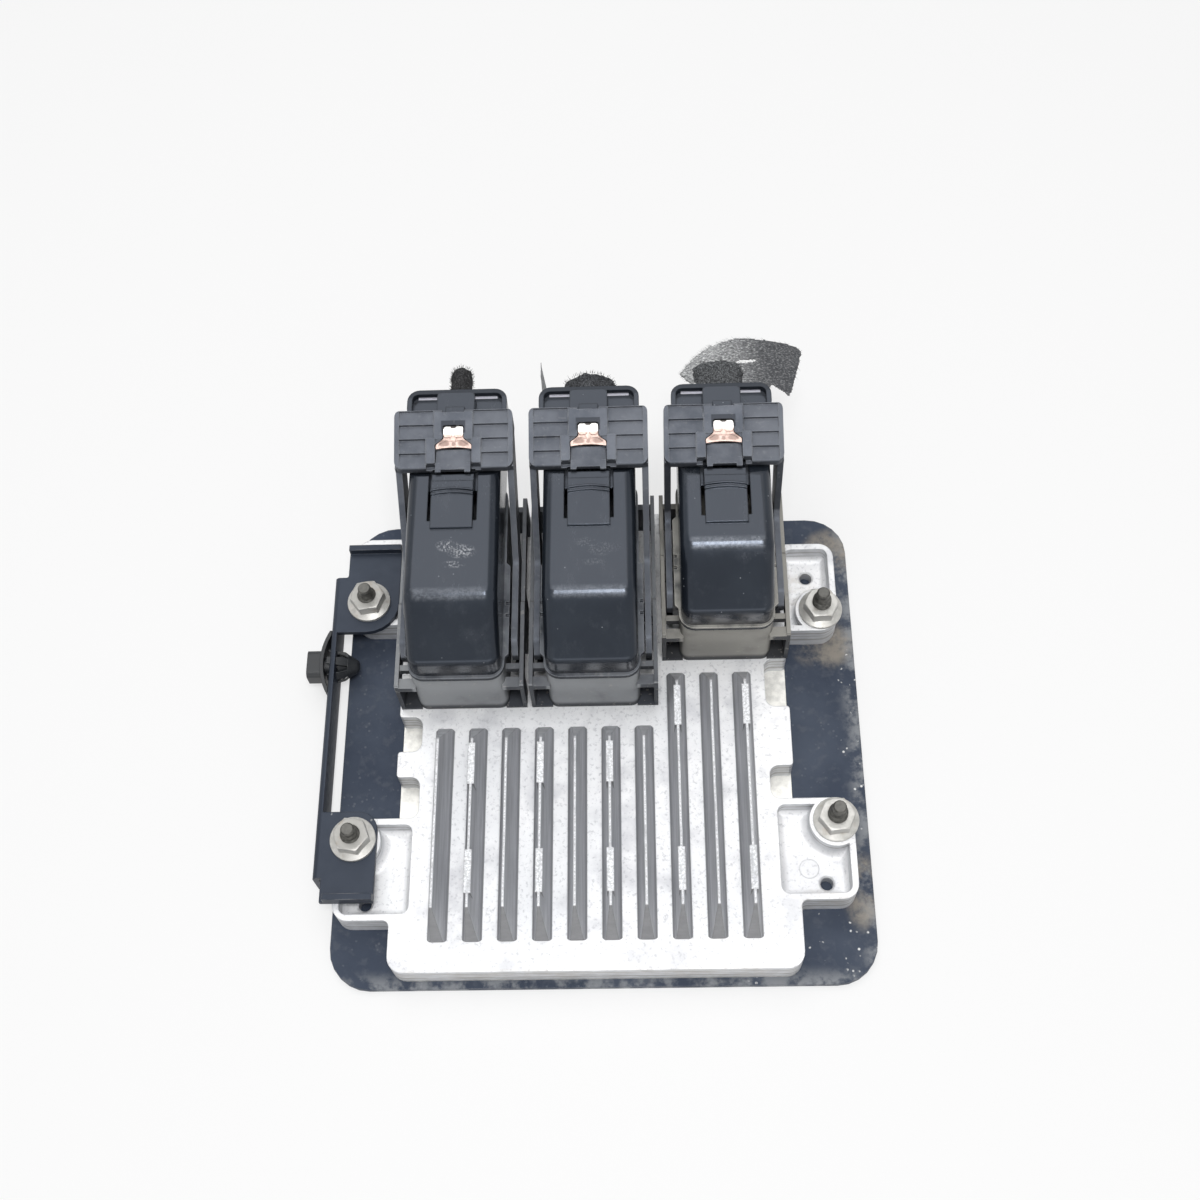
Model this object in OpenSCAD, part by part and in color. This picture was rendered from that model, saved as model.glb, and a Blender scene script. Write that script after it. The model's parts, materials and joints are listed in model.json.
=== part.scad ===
// Engine control unit on its mounting plate, with three lever-locked harness plugs.
// X runs left to right, Y front to back and Z up. The origin is the centre of the plate's underside.

/* [Mounting plate] */
// Width of the plate
plate_w = 168.4; // [166:0.2:190]
// Depth of the plate
plate_d = 160.8; // [158:0.2:180]
// Sheet thickness of the plate
plate_t = 2; // [1.6:0.1:4]
// Corner radius of the plate
plate_r = 13; // [5:0.5:18]

/* [Case] */
// Width of the case without its ears
case_w = 125.4; // [122:0.2:128]
// Depth of the case
case_d = 155.8; // [153:0.2:160]
// Height of the case above the plate
case_h = 11; // [10:0.1:14]
// Sideways place of the case on the plate
case_x = -1.9; // [-4:0.1:0]
// Corner radius of the case
case_r = 5; // [3:0.5:8]
// Thickness of the finned roof
roof_t = 3.4; // [3:0.1:3.8]
// Thickness of the end walls
case_wall = 3; // [2:0.1:4]
// Thickness of the bottom cover
cover_t = 1.2; // [0.8:0.1:1.6]

/* [Ears] */
// How far the ears stand out from the case
ear_out = 17.7; // [16.5:0.1:19]
// Length of an ear
ear_len = 32.3; // [31:0.1:34]
// Distance from the stud to the nearer end of its ear
ear_inset = 7.4; // [7:0.1:9]
// Depth of the pocket in an ear
pocket_depth = 6.4; // [6:0.1:8]
// Radius of the stud boss left standing in a pocket
boss_r = 8.2; // [8:0.1:10]
// Radius of a locating hole
dowel_r = 2; // [1.5:0.05:2.5]

/* [Studs and nuts] */
// Distance of the studs from the case side
stud_out = 12.1; // [11:0.1:13]
// Distance from the case rear to the rear left stud
stud_rl_in = 32.7; // [32:0.1:36]
// Distance from the case rear to the rear right stud
stud_rr_in = 37.7; // [34:0.1:40]
// Distance from the case front to the front left stud
stud_fl_in = 41; // [38:0.1:44]
// Distance from the case front to the front right stud
stud_fr_in = 45.6; // [42:0.1:50]
// Radius of a stud
stud_r = 3; // [2.5:0.05:3]
// Length of a stud above the case
stud_reach = 12.9; // [11:0.1:16]
// Width of a nut across its flats
nut_flats = 10; // [9:0.1:11]
// Height of a nut with its flange
nut_h = 6; // [5:0.1:7]
// Radius of a nut's flange
nut_flange_r = 7.1; // [6.5:0.05:7.4]

/* [Fins] */
// Distance between fins
fin_pitch = 10.6; // [9.5:0.1:11]
// Height of the fins
fin_h = 17; // [12:0.1:20]
// Thickness of a fin at its foot
fin_foot = 4.2; // [3:0.1:5]
// Thickness of a fin at its top
fin_tip = 0.8; // [0.6:0.05:1.5]
// Radius where a fin meets the roof
fin_fillet = 1.4; // [0.8:0.1:2]
// Distance from the case front to the fins
fin_inset = 9.1; // [6:0.1:14]
// Distance from the seven shorter fins to the long headers
fin_gap = 7.3; // [4:0.1:11]
// Distance from the three longer fins to the short header
fin_long_gap = 4.8; // [4:0.1:10]

/* [Headers] */
// Distance between neighbouring connectors
conn_pitch = 42.2; // [41:0.1:43]
// Sideways place of the connectors on the case
conn_shift = 0.4; // [-0.4:0.1:1]
// Length of the two long headers
long_len = 67.2; // [65:0.1:70]
// Length of the short header
short_len = 51.6; // [50:0.1:54]
// Distance from the case rear to the headers
header_inset = 3.4; // [2:0.1:5]
// Outer width of a header shroud
shroud_w = 29.2; // [27:0.1:30]
// Height of a shroud above the case
shroud_h = 23.6; // [22:0.1:28]
// Wall of a shroud
shroud_wall = 2; // [1.5:0.1:2.5]
// Height of the guard walls above the case
guard_h = 17; // [15:0.1:20]
// Thickness of a guard wall
guard_t = 1.3; // [1:0.1:1.6]
// Distance from the case rear to the guard walls
guard_inset = 1.9; // [1:0.1:2.5]

/* [Plugs] */
// Thickness of the plug's flange
flange_t = 2; // [1.5:0.1:3]
// Thickness of the side ears that carry the lever
side_ear_t = 1.2; // [1:0.1:1.5]
// Width of the wire cover
hood_w = 28.8; // [27:0.1:29.2]
// Height of the wire cover's top above the flange
hood_h = 23.1; // [21:0.1:26]
// Height of the wire cover's front wall
hood_front_h = 8; // [6:0.1:11]
// Run of the wire cover's front slope
hood_slope_run = 16; // [13:0.1:18]
// Edge radius of the wire cover
hood_r = 4; // [3:0.1:5]
// Wall of the wire cover
hood_wall = 2; // [1.5:0.1:2.5]
// Length of the wire cover's rear tray
tray_len = 10.9; // [9:0.1:13]
// Width of the wire cover's rear tray
tray_w = 32; // [30:0.1:34]

/* [Levers] */
// Height of the lever pivot above the case
pivot_h = 13; // [12:0.1:14]
// Distance from the header front to the lever pivot
pivot_back = 27; // [26:0.1:29]
// Radius of the lever pivot
pivot_r = 3; // [2.5:0.05:3.5]
// Thickness of a lever arm
lever_t = 2; // [1.5:0.1:2.5]
// Lift of the plug when its lever is fully open
plug_lift = 9.5; // [6:0.1:10]
// Angle that a lever opens
lever_open = 80; // [60:1:85]
// Radius of the cam pegs on the header
peg_r = 1.5; // [1.2:0.05:1.8]
// Distance of a cam peg below the closed pivot
peg_drop = 6.5; // [6:0.1:7]
// Distance from the crossbar's front edge to the header rear
bar_inset = 7; // [5.5:0.1:8.5]
// Front to back length of the crossbar
bar_len = 18.4; // [17:0.1:19]
// Rise of the crossbar's sloping top
bar_rise = 5.9; // [4:0.1:7]
// Thickness of the crossbar at its front edge
bar_t = 2.4; // [2:0.1:4]

/* [Side bracket] */
// Sheet thickness of the bracket
bracket_t = 2; // [1.2:0.1:2.5]
// Distance from the left studs to the outside of the bracket
bracket_out = 12.1; // [11:0.1:14]
// Height of the bracket's side flange
bracket_h = 12; // [9:0.1:13]

/* [Hidden] */
$fn = 48;
eps = 0.01;
arc_steps = 6;
slide_gap = 0.4;
seat_gap = 0.1;
running_gap = 0.05;

// Heights
cover_z = plate_t + cover_t;
face_z = plate_t + case_h;
fin_top_z = face_z + fin_h;
stud_tip_z = face_z + stud_reach;
shroud_top = face_z + shroud_h;
flange_z = shroud_top + slide_gap;
hood_z = flange_z + flange_t;
hood_top = hood_z + hood_h;
pivot_z = face_z + pivot_h;
guard_top = face_z + guard_h;

// Front to back
case_f = -case_d / 2;
case_b = case_d / 2;
header_rear_y = case_b - header_inset;
guard_rear_y = case_b - guard_inset;
long_front_y = header_rear_y - long_len;
short_front_y = header_rear_y - short_len;
fin_front_y = case_f + fin_inset;
fin_rear_y = long_front_y - fin_gap;
fin_long_rear_y = short_front_y - fin_long_gap;
bar_front_y = header_rear_y - bar_inset;
bar_rear_y = bar_front_y + bar_len;
stud_rl_y = case_b - stud_rl_in;
stud_rr_y = case_b - stud_rr_in;
stud_fl_y = case_f + stud_fl_in;
stud_fr_y = case_f + stud_fr_in;

// Case outline
case_l = case_x - case_w / 2;
case_rt = case_x + case_w / 2;
ear_l = case_l - ear_out;
ear_rt = case_rt + ear_out;
ear_rest = ear_len - ear_inset;
stud_lx = case_l - stud_out;
stud_rx = case_rt + stud_out;
studs = [[stud_lx, stud_rl_y], [stud_rx, stud_rr_y], [stud_lx, stud_fl_y], [stud_rx, stud_fr_y]];
nut_turn = [8, 2, -9, 6];
notch_in = 7.5;
notch_r = 3;
notch_gap = 2.7;
left_land = 8.6;
left_land_shift = 0.85;
right_land = 20.1;
right_land_shift = -2.85;
fin_count = 10;
long_fins = 3;

// Across the connectors, from the middle outwards
conn_x = case_x + conn_shift;
shroud_half = shroud_w / 2;
side_ear_in = shroud_half + slide_gap;
side_ear_outer = side_ear_in + side_ear_t;
lever_in = side_ear_outer + slide_gap;
lever_half = lever_in + lever_t;
guard_in = lever_half + slide_gap;
guard_half = guard_in + guard_t;
plug_half = shroud_half - shroud_wall - slide_gap;
hood_half = hood_w / 2;

// Circuit board
board_t = 1.6;
part_room = 2.8;
board_top = face_z - roof_t - part_room;
board_z = board_top - board_t;
cavity_wall = 2.4;
cavity_half = case_w / 2 - notch_in - cavity_wall;
cavity_f = case_f + case_wall;
cavity_b = case_b - case_wall;
board_gap = 1;
board_half = cavity_half - board_gap;
board_f = cavity_f + board_gap;
board_b = cavity_b - board_gap;
post_r = 3;
screw_r = 1.25;
post_in = 5;
post_x = board_half - post_in;
posts = [for (s = [-1, 1]) each [
    [case_x + s * post_x, board_f + post_in],
    [case_x + s * post_x, (board_f + long_front_y) / 2],
    [conn_x + s * conn_pitch / 2, board_b - post_in]
]];
processor_side = 24;
processor_gap = 13.3;
chip_t = 1.6;
stage = [7, 9, 1.8];
stage_pitch = 15;
stage_y = case_f + 14;
stage_count = 6;
cap_r = 2.4;
cap_h = 2.3;
cap_pitch = 11.5;
cap_y = stage_y + stage[1] + 2 * cap_r;
cap_count = 8;

// Header pins
pin_s = 0.8;
pin_pitch = 5;
pin_rows = 4;
pin_edge = 8;
pin_h = 15;
pin_tail = 0.6;
pin_top = face_z + pin_h;
header_floor = 3;
mouth_in = 3.2;
seal_t = 1.2;
seal_w = 1.6;

// Levers and wire covers
bar_sink = 1.5;
bar_z = hood_top - bar_sink;
cover_dip = 1;
bar_half = lever_half;
tongue_half = 6.5;
tongue_h = 2;
tongue_rear_y = bar_front_y - 2.2;
bundle_r = 6.8;
bundle_z = hood_z + 12.4;
thin_bundle_r = 3.8;

function conn_x_of(i) = conn_x + (i - 1) * conn_pitch;
function front_of(i) = i == 2 ? short_front_y : long_front_y;
function pivot_y(i) = front_of(i) + pivot_back;
function pin_cols(i) = floor((header_rear_y - front_of(i) - 2 * pin_edge) / pin_pitch) + 1;
function pin_x(k) = (k - (pin_rows - 1) / 2) * pin_pitch;
function pin_y(i, k) = (front_of(i) + header_rear_y) / 2 + (k - (pin_cols(i) - 1) / 2) * pin_pitch;
function row_x(k, count, pitch) = case_x + (k - (count - 1) / 2) * pitch;
function fin_x(k) = row_x(k, fin_count, fin_pitch);
function fin_rear(k) = k >= fin_count - long_fins ? fin_long_rear_y : fin_rear_y;

// Outlines: a list of [x, y, corner radius] becomes points, with an arc at each rounded corner
function unit(v) = v / norm(v);
function flat(p) = [p[0], p[1]];
function turn_between(a0, a1) = (a1 - a0 + 540) % 360 - 180;
function corner_arc(a, b, c, r) =
    let (
        u = unit(a - b),
        v = unit(c - b),
        half = acos(u * v) / 2,
        centre = b + unit(u + v) * r / sin(half),
        start = b + u * r / tan(half) - centre,
        end = b + v * r / tan(half) - centre,
        a0 = atan2(start[1], start[0]),
        turn = turn_between(a0, atan2(end[1], end[0]))
    )
    [for (k = [0:arc_steps]) centre + r * [cos(a0 + turn * k / arc_steps), sin(a0 + turn * k / arc_steps)]];
function rounded(points) =
    let (n = len(points))
    [for (k = [0:n - 1])
        let (p = points[k])
        each p[2] == 0 ? [flat(p)]
            : corner_arc(flat(points[(k + n - 1) % n]), flat(p), flat(points[(k + 1) % n]), p[2])];
function box_outline(x0, y0, x1, y1, r) = [[x0, y0, r], [x1, y0, r], [x1, y1, r], [x0, y1, r]];

// A flat outline raised from z0 to z1
module slab(points, z0, z1) {
    translate([0, 0, z0]) linear_extrude(z1 - z0) polygon(rounded(points));
}

// A side view, drawn as front to back and height, carried across from x0 to x1
module across(points, x0, x1) {
    translate([x0, 0, 0]) rotate([90, 0, 90]) linear_extrude(x1 - x0) polygon(rounded(points));
}

// A front view, drawn as left to right and height, carried back from y0 to y1
module along(points, y0, y1) {
    translate([0, y1, 0]) rotate([90, 0, 0]) linear_extrude(y1 - y0) polygon(rounded(points));
}

module box(low, high) {
    translate(low) cube(high - low);
}

// One shape on each side of a connector's middle
module both_sides() {
    children();
    mirror([1, 0, 0]) children();
}

// Mounting plate, studs and nuts

stud_head_r = 4.2;
stud_head_t = 1.2;
dog_r = 2.1;
dog_len = 3;

module mounting_plate() {
    color("#2b2e33") difference() {
        slab(box_outline(-plate_w / 2, -plate_d / 2, plate_w / 2, plate_d / 2, plate_r), 0, plate_t);
        for (s = studs) translate([s[0], s[1], -eps]) {
            cylinder(r = stud_r + running_gap, h = plate_t + 1);
            cylinder(r = stud_head_r + running_gap, h = stud_head_t + eps);
        }
    }
}

module mounting_studs() {
    color("#5d5a55") for (s = studs) translate([s[0], s[1], 0]) rotate_extrude() polygon([
        [0, 0], [stud_head_r, 0], [stud_head_r, stud_head_t], [stud_r, stud_head_t],
        [stud_r, stud_tip_z - dog_len - 1], [dog_r, stud_tip_z - dog_len],
        [dog_r, stud_tip_z - 0.5], [dog_r - 0.5, stud_tip_z], [0, stud_tip_z]
    ]);
}

module flange_nut() {
    flange_edge = 1.1;
    hex_r = nut_flats / sqrt(3);
    difference() {
        union() {
            rotate_extrude() polygon([
                [0, 0], [nut_flange_r, 0], [nut_flange_r, flange_edge],
                [nut_flats / 2, flange_edge + 0.9], [0, flange_edge + 0.9]
            ]);
            intersection() {
                cylinder(r = hex_r, h = nut_h, $fn = 6);
                rotate_extrude() polygon([
                    [0, 0], [hex_r + 0.1, 0], [hex_r + 0.1, nut_h - 0.6],
                    [nut_flats / 2 - 0.3, nut_h], [0, nut_h]
                ]);
            }
        }
        translate([0, 0, -1]) cylinder(r = stud_r + running_gap, h = nut_h + 2);
    }
}

module flange_nuts() {
    color("#c9c8c2") for (k = [0:3]) {
        on_bracket = studs[k][0] < 0;
        translate([studs[k][0], studs[k][1], face_z + (on_bracket ? bracket_t : 0)])
            rotate([0, 0, nut_turn[k]]) flange_nut();
    }
}

// Side bracket and the clip in its flange

bracket_x = stud_lx - bracket_out;
bracket_rear_y = stud_rl_y + 9.6;
bracket_front_y = stud_fl_y - 12;
bracket_top = face_z + bracket_t;
lip_h = 2.6;
clip_y = 24.9;
clip_z = bracket_top - 6.5;
clip_stem_r = 3;

module bracket_tabs() {
    rear_tab_y = stud_rl_y + 20.6;
    rear_tab_x = stud_lx + 10;
    rear_tab_in = stud_lx - 7.6;
    front_tab_y = stud_fl_y - 19.6;
    front_tab_x = stud_lx + 7.2;
    front_tab_in = stud_lx - 9.3;
    slab([
        [bracket_x, stud_rl_y - 10.7, 0], [rear_tab_x, stud_rl_y - 10.7, 10.5], [rear_tab_x, rear_tab_y, 0],
        [rear_tab_in, rear_tab_y, 0], [rear_tab_in, bracket_rear_y, 0.8], [bracket_x, bracket_rear_y, 1.5]
    ], face_z, bracket_top);
    slab([
        [bracket_x, bracket_front_y, 0], [front_tab_in, bracket_front_y, 0], [front_tab_in, front_tab_y, 0],
        [front_tab_x, front_tab_y, 1], [front_tab_x, stud_fl_y + 9.2, 6], [bracket_x, stud_fl_y + 9.2, 0]
    ], face_z, bracket_top);
    box([rear_tab_in, rear_tab_y - bracket_t, face_z], [rear_tab_x, rear_tab_y, bracket_top + lip_h]);
    box([front_tab_in, front_tab_y, face_z], [front_tab_x, front_tab_y + bracket_t, bracket_top + lip_h]);
}

module side_bracket() {
    bend_r = 2;
    lip_x = bracket_x + 2 * bracket_t;
    lip_top = bracket_top + lip_h;
    color("#1d1f23") difference() {
        union() {
            intersection() {
                bracket_tabs();
                along([
                    [bracket_x, 0, 0], [0, 0, 0], [0, lip_top, 0], [lip_x, lip_top, 0],
                    [lip_x, bracket_top, 0], [bracket_x, bracket_top, bend_r]
                ], -plate_d, plate_d);
            }
            along([
                [bracket_x, bracket_top - bracket_h, 0], [bracket_x + bracket_t, bracket_top - bracket_h, 0],
                [bracket_x + bracket_t, bracket_top, 0], [bracket_x, bracket_top, bracket_t * 0.9]
            ], bracket_front_y, bracket_rear_y);
        }
        for (k = [0, 2]) translate([studs[k][0], studs[k][1], 0]) cylinder(r = stud_r + 0.3, h = stud_tip_z);
        translate([bracket_x - 1, clip_y, clip_z]) rotate([0, 90, 0])
            cylinder(r = clip_stem_r + seat_gap, h = bracket_t + 2);
    }
}

module harness_clip() {
    wing_len = 22;
    wing_h = 10;
    wing_r = 24;
    wing_t = 1.2;
    knob_w = 9.6;
    knob_h = 8;
    barb_r = 3.9;
    stem_end = 9;
    color("#17181a") translate([bracket_x, clip_y, clip_z]) {
        // bowed spring wing whose tips press on the flange
        intersection() {
            difference() {
                translate([wing_r - 3.4, 0, -wing_h / 2]) cylinder(r = wing_r, h = wing_h);
                translate([wing_r - 3.4, 0, -wing_h]) cylinder(r = wing_r - wing_t, h = 2 * wing_h);
            }
            box([-wing_r, -wing_len / 2, -wing_h], [-seat_gap, wing_len / 2, wing_h]);
        }
        // knob outside the wing
        translate([-7.8, 0, 0]) rotate([0, 90, 0]) linear_extrude(5)
            polygon(rounded(box_outline(-knob_h / 2, -knob_w / 2, knob_h / 2, knob_w / 2, 2)));
        // stem through the flange, with barbs inside it
        rotate([0, 90, 0]) rotate_extrude() polygon([
            [0, -3], [clip_stem_r, -3], [clip_stem_r, bracket_t + 0.4], [barb_r, bracket_t + 0.6],
            [clip_stem_r - 0.6, bracket_t + 3.4], [barb_r, bracket_t + 3.6],
            [clip_stem_r - 1, bracket_t + 6.6], [1.4, stem_end], [0, stem_end]
        ]);
    }
}

// Case, cover and what is between them

function ear_low(k) = studs[k][1] - (k < 2 ? ear_inset : ear_rest);
function ear_high(k) = studs[k][1] + (k < 2 ? ear_rest : ear_inset);

ear_root_r = 2;
ear_tip_r = 5;
ear_stud_r = 6;
land_r = 1;
left_mid = (ear_high(2) + long_front_y - notch_gap) / 2 + left_land_shift;
right_mid = (ear_high(3) + short_front_y) / 2 + right_land_shift;
land_lf = left_mid - left_land / 2;
land_lb = left_mid + left_land / 2;
land_rf = right_mid - right_land / 2;
land_rb = right_mid + right_land / 2;
notch_l = case_l + notch_in;
notch_rt = case_rt - notch_in;

// Corner radius of a notch, less where the notch is short
function notch_fit(space) = min(notch_r, space / 2.2);

case_outline = [
    [case_l, case_f, case_r], [case_rt, case_f, case_r],
    [case_rt, ear_low(3), ear_root_r], [ear_rt, ear_low(3), ear_tip_r], [ear_rt, ear_high(3), ear_stud_r],
    [notch_rt, ear_high(3), notch_fit(land_rf - ear_high(3))],
    [notch_rt, land_rf, notch_fit(land_rf - ear_high(3))],
    [case_rt, land_rf, land_r], [case_rt, land_rb, land_r],
    [notch_rt, land_rb, notch_fit(short_front_y - land_rb)],
    [notch_rt, short_front_y, notch_fit(short_front_y - land_rb)], [case_rt, short_front_y, land_r],
    [case_rt, ear_low(1), ear_root_r], [ear_rt, ear_low(1), ear_stud_r],
    [ear_rt, ear_high(1), ear_tip_r], [case_rt, ear_high(1), ear_root_r],
    [case_rt, case_b, case_r], [case_l, case_b, case_r],
    [case_l, ear_high(0), ear_root_r], [ear_l, ear_high(0), ear_tip_r],
    [ear_l, ear_low(0), ear_stud_r], [case_l, ear_low(0), ear_root_r],
    [case_l, long_front_y - notch_gap, land_r],
    [notch_l, long_front_y - notch_gap, notch_fit(long_front_y - notch_gap - land_lb)],
    [notch_l, land_lb, notch_fit(long_front_y - notch_gap - land_lb)],
    [case_l, land_lb, land_r], [case_l, land_lf, land_r],
    [notch_l, land_lf, notch_fit(land_lf - ear_high(2))],
    [notch_l, ear_high(2), notch_fit(land_lf - ear_high(2))],
    [ear_l, ear_high(2), ear_stud_r], [ear_l, ear_low(2), ear_tip_r], [case_l, ear_low(2), ear_root_r]
];

pocket_z = face_z - pocket_depth;
pocket_r = 2.5;
cove_r = 3.2;
rim = 2;
rear_rim = 1.2;
dowel_in = 3.4;
dowel_rear = 15.1;
dowel_front = 18.2;
dowel_chamfer = 0.7;
front_pocket_in = 5.8;
mark_r = 3;
mark_h = 0.2;
mark_in = 8.6;
mark_front = 13.5;

// Left and right ends of the four ear pockets
function pocket_x0(k) = [ear_l + rim, case_rt + rear_rim, ear_l + rim, case_rt - front_pocket_in][k];
function pocket_x1(k) = [case_l - rear_rim, ear_rt - rim, case_l + front_pocket_in, ear_rt - rim][k];
function stud_side(k) = studs[k][0] < 0 ? 1 : -1;
function dowel_at(k) =
    [studs[k][0] + stud_side(k) * dowel_in, studs[k][1] + (k < 2 ? dowel_rear : -dowel_front)];

// Hollow corner between a pocket's floor and a wall, along X and along Y
module cove_x(x0, x1, y, side) {
    difference() {
        box([x0, min(y, y + side * cove_r), pocket_z - eps],
            [x1, max(y, y + side * cove_r), pocket_z + cove_r]);
        translate([x0 - 1, y + side * cove_r, pocket_z + cove_r]) rotate([0, 90, 0])
            cylinder(r = cove_r, h = x1 - x0 + 2);
    }
}

module cove_y(y0, y1, x, side) {
    difference() {
        box([min(x, x + side * cove_r), y0, pocket_z - eps],
            [max(x, x + side * cove_r), y1, pocket_z + cove_r]);
        translate([x + side * cove_r, y1 + 1, pocket_z + cove_r]) rotate([90, 0, 0])
            cylinder(r = cove_r, h = y1 - y0 + 2);
    }
}

module boss(k) {
    translate([studs[k][0], studs[k][1], 0]) difference() {
        union() {
            cylinder(r = boss_r, h = face_z + 2);
            cylinder(r = boss_r + cove_r, h = pocket_z + cove_r);
        }
        translate([0, 0, pocket_z + cove_r]) rotate_extrude() translate([boss_r + cove_r, 0]) circle(cove_r);
    }
}

module ear_pocket(k) {
    x0 = pocket_x0(k);
    x1 = pocket_x1(k);
    y0 = ear_low(k) + rim;
    y1 = ear_high(k) - rim;
    difference() {
        slab(box_outline(x0, y0, x1, y1, pocket_r), pocket_z, face_z + 1);
        boss(k);
        cove_x(x0, x1, y0, 1);
        cove_x(x0, x1, y1, -1);
        cove_y(y0, y1, x0, 1);
        cove_y(y0, y1, x1, -1);
        if (k == 3) translate([studs[k][0] - mark_in, studs[k][1] - mark_front, 0])
            cylinder(r = mark_r, h = pocket_z + mark_h);
    }
}

pad_w = 2.2;
pad_len = 13.3;
pad_depth = 8;
front_pad_y = fin_front_y + 10.3;
rear_pad_gap = 24.5;

// One cooling fin: a drafted blade with filleted feet and sloping ends
module fin(k) {
    x = fin_x(k);
    rear = fin_rear(k);
    foot = fin_foot / 2 + fin_fillet;
    sink = 1;
    intersection() {
        union() {
            along([
                [x - fin_foot / 2, face_z - sink, 0], [x + fin_foot / 2, face_z - sink, 0],
                [x + fin_foot / 2, face_z, 0], [x + fin_tip / 2, fin_top_z, 0.25],
                [x - fin_tip / 2, fin_top_z, 0.25], [x - fin_foot / 2, face_z, 0]
            ], fin_front_y, rear);
            difference() {
                box([x - foot, fin_front_y, face_z - sink], [x + foot, rear, face_z + fin_fillet]);
                for (s = [-1, 1]) translate([x + s * foot, rear + 1, face_z + fin_fillet]) rotate([90, 0, 0])
                    cylinder(r = fin_fillet, h = rear - fin_front_y + 2);
            }
        }
        across([
            [fin_front_y, face_z - sink, 0], [rear, face_z - sink, 0], [rear, face_z + 0.8, 0],
            [rear - 9.5, fin_top_z, 2], [fin_front_y + 6, fin_top_z, 1.5], [fin_front_y, face_z + 0.8, 0]
        ], x - foot, x + foot);
        slab(box_outline(x - foot, fin_front_y, x + foot, rear, 1.9), 0, fin_top_z + 1);
    }
    if (k % 2 == 1) for (y = [front_pad_y, rear - rear_pad_gap])
        box([x - pad_w / 2, y, fin_top_z - pad_depth], [x + pad_w / 2, y + pad_len, fin_top_z + 0.05]);
}

module header_mouth(i, inset, z0, z1) {
    half = shroud_half - mouth_in - inset;
    translate([conn_x_of(i), 0, 0]) slab(box_outline(
        -half, front_of(i) + mouth_in + inset, half, header_rear_y - mouth_in - inset, 2), z0, z1);
}

module seal_ring(i, gap, z0, z1) {
    difference() {
        header_mouth(i, -seal_w + gap, z0, z1);
        header_mouth(i, -gap, z0 - 1, z1 + 1);
    }
}

module board_posts(r, z0, z1) {
    for (p = posts) translate([p[0], p[1], z0]) cylinder(r = r, h = z1 - z0);
}

module case_casting() {
    stud_gap = 0.3;
    color("#d5d6d8") difference() {
        union() {
            difference() {
                slab(case_outline, plate_t, face_z);
                box([case_l, case_f - 1, plate_t - 1], [case_rt, case_b + 1, cover_z]);
                box([case_x - cavity_half, cavity_f, plate_t],
                    [case_x + cavity_half, cavity_b, face_z - roof_t]);
                for (k = [0:3]) ear_pocket(k);
            }
            board_posts(post_r, board_top, face_z - roof_t + 1);
            for (k = [0:fin_count - 1]) fin(k);
        }
        for (s = studs) translate([s[0], s[1], 0]) cylinder(r = stud_r + stud_gap, h = face_z + 1);
        for (k = [0:3]) translate([dowel_at(k)[0], dowel_at(k)[1], 0]) {
            cylinder(r = dowel_r, h = face_z);
            translate([0, 0, pocket_z - dowel_chamfer + 0.1])
                cylinder(r1 = dowel_r, r2 = dowel_r + dowel_chamfer, h = dowel_chamfer);
        }
        board_posts(screw_r, board_top - 1, face_z - roof_t + 0.5);
        for (i = [0:2]) {
            header_mouth(i, 0, plate_t, face_z + 1);
            seal_ring(i, 0, face_z - seal_t, face_z + 1);
        }
    }
}

module bottom_cover() {
    color("#c4c6c9") slab(box_outline(case_l, case_f, case_rt, case_b, case_r), plate_t, cover_z);
}

module cover_seal() {
    bead = 0.8;
    bead_h = 0.6;
    half = cavity_half - seat_gap;
    inner = cavity_half - bead;
    color("#3a3f3c") difference() {
        slab(box_outline(case_x - half, cavity_f + seat_gap, case_x + half, cavity_b - seat_gap, 1),
            cover_z, cover_z + bead_h);
        slab(box_outline(case_x - inner, cavity_f + bead, case_x + inner, cavity_b - bead, 0.5),
            0, cover_z + 1);
    }
}

module circuit_board() {
    hole = pin_s + 4 * seat_gap;
    color("#1f5a36") difference() {
        union() {
            slab(box_outline(case_x - board_half, board_f, case_x + board_half, board_b, 2),
                board_z, board_top);
            for (i = [0:2]) header_mouth(i, board_gap, board_z, board_top);
        }
        board_posts(screw_r + 2 * seat_gap, board_z - 1, board_top + 1);
        for (i = [0:2], r = [0:pin_rows - 1], c = [0:pin_cols(i) - 1])
            translate([conn_x_of(i) + pin_x(r) - hole / 2, pin_y(i, c) - hole / 2, board_z - 1])
                cube([hole, hole, board_t + 2]);
    }
}

module board_screws() {
    head_r = 2.4;
    head_t = 1.2;
    color("silver") for (p = posts) translate([p[0], p[1], 0]) rotate_extrude() polygon([
        [0, board_z - head_t], [head_r, board_z - head_t], [head_r, board_z],
        [screw_r - running_gap, board_z], [screw_r - running_gap, face_z - roof_t], [0, face_z - roof_t]
    ]);
}

module processor() {
    half = processor_side / 2;
    rear = long_front_y - processor_gap;
    color("#202124") slab(box_outline(case_x - half, rear - processor_side, case_x + half, rear, 0.6),
        board_top, board_top + chip_t);
}

module power_stages() {
    color("#2a2a2c") for (k = [0:stage_count - 1])
        translate([row_x(k, stage_count, stage_pitch) - stage[0] / 2, stage_y, board_top]) cube(stage);
}

module capacitors() {
    color("#b9b2a5") for (k = [0:cap_count - 1])
        translate([row_x(k, cap_count, cap_pitch), cap_y, board_top]) cylinder(r = cap_r, h = cap_h);
}

// Headers: open shrouds with guard walls and the cam pegs

guard_leg = 6;
rib_t = 2.6;
front_rib = 3.4;
second_rib_y = 6.2;
second_rib = 1.9;
rear_rib = 2;

guard_step = 30;
guard_drop = 5;
pivot_land = 8;
rib_lap = 0.2;
foot_t = 1.2;

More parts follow.
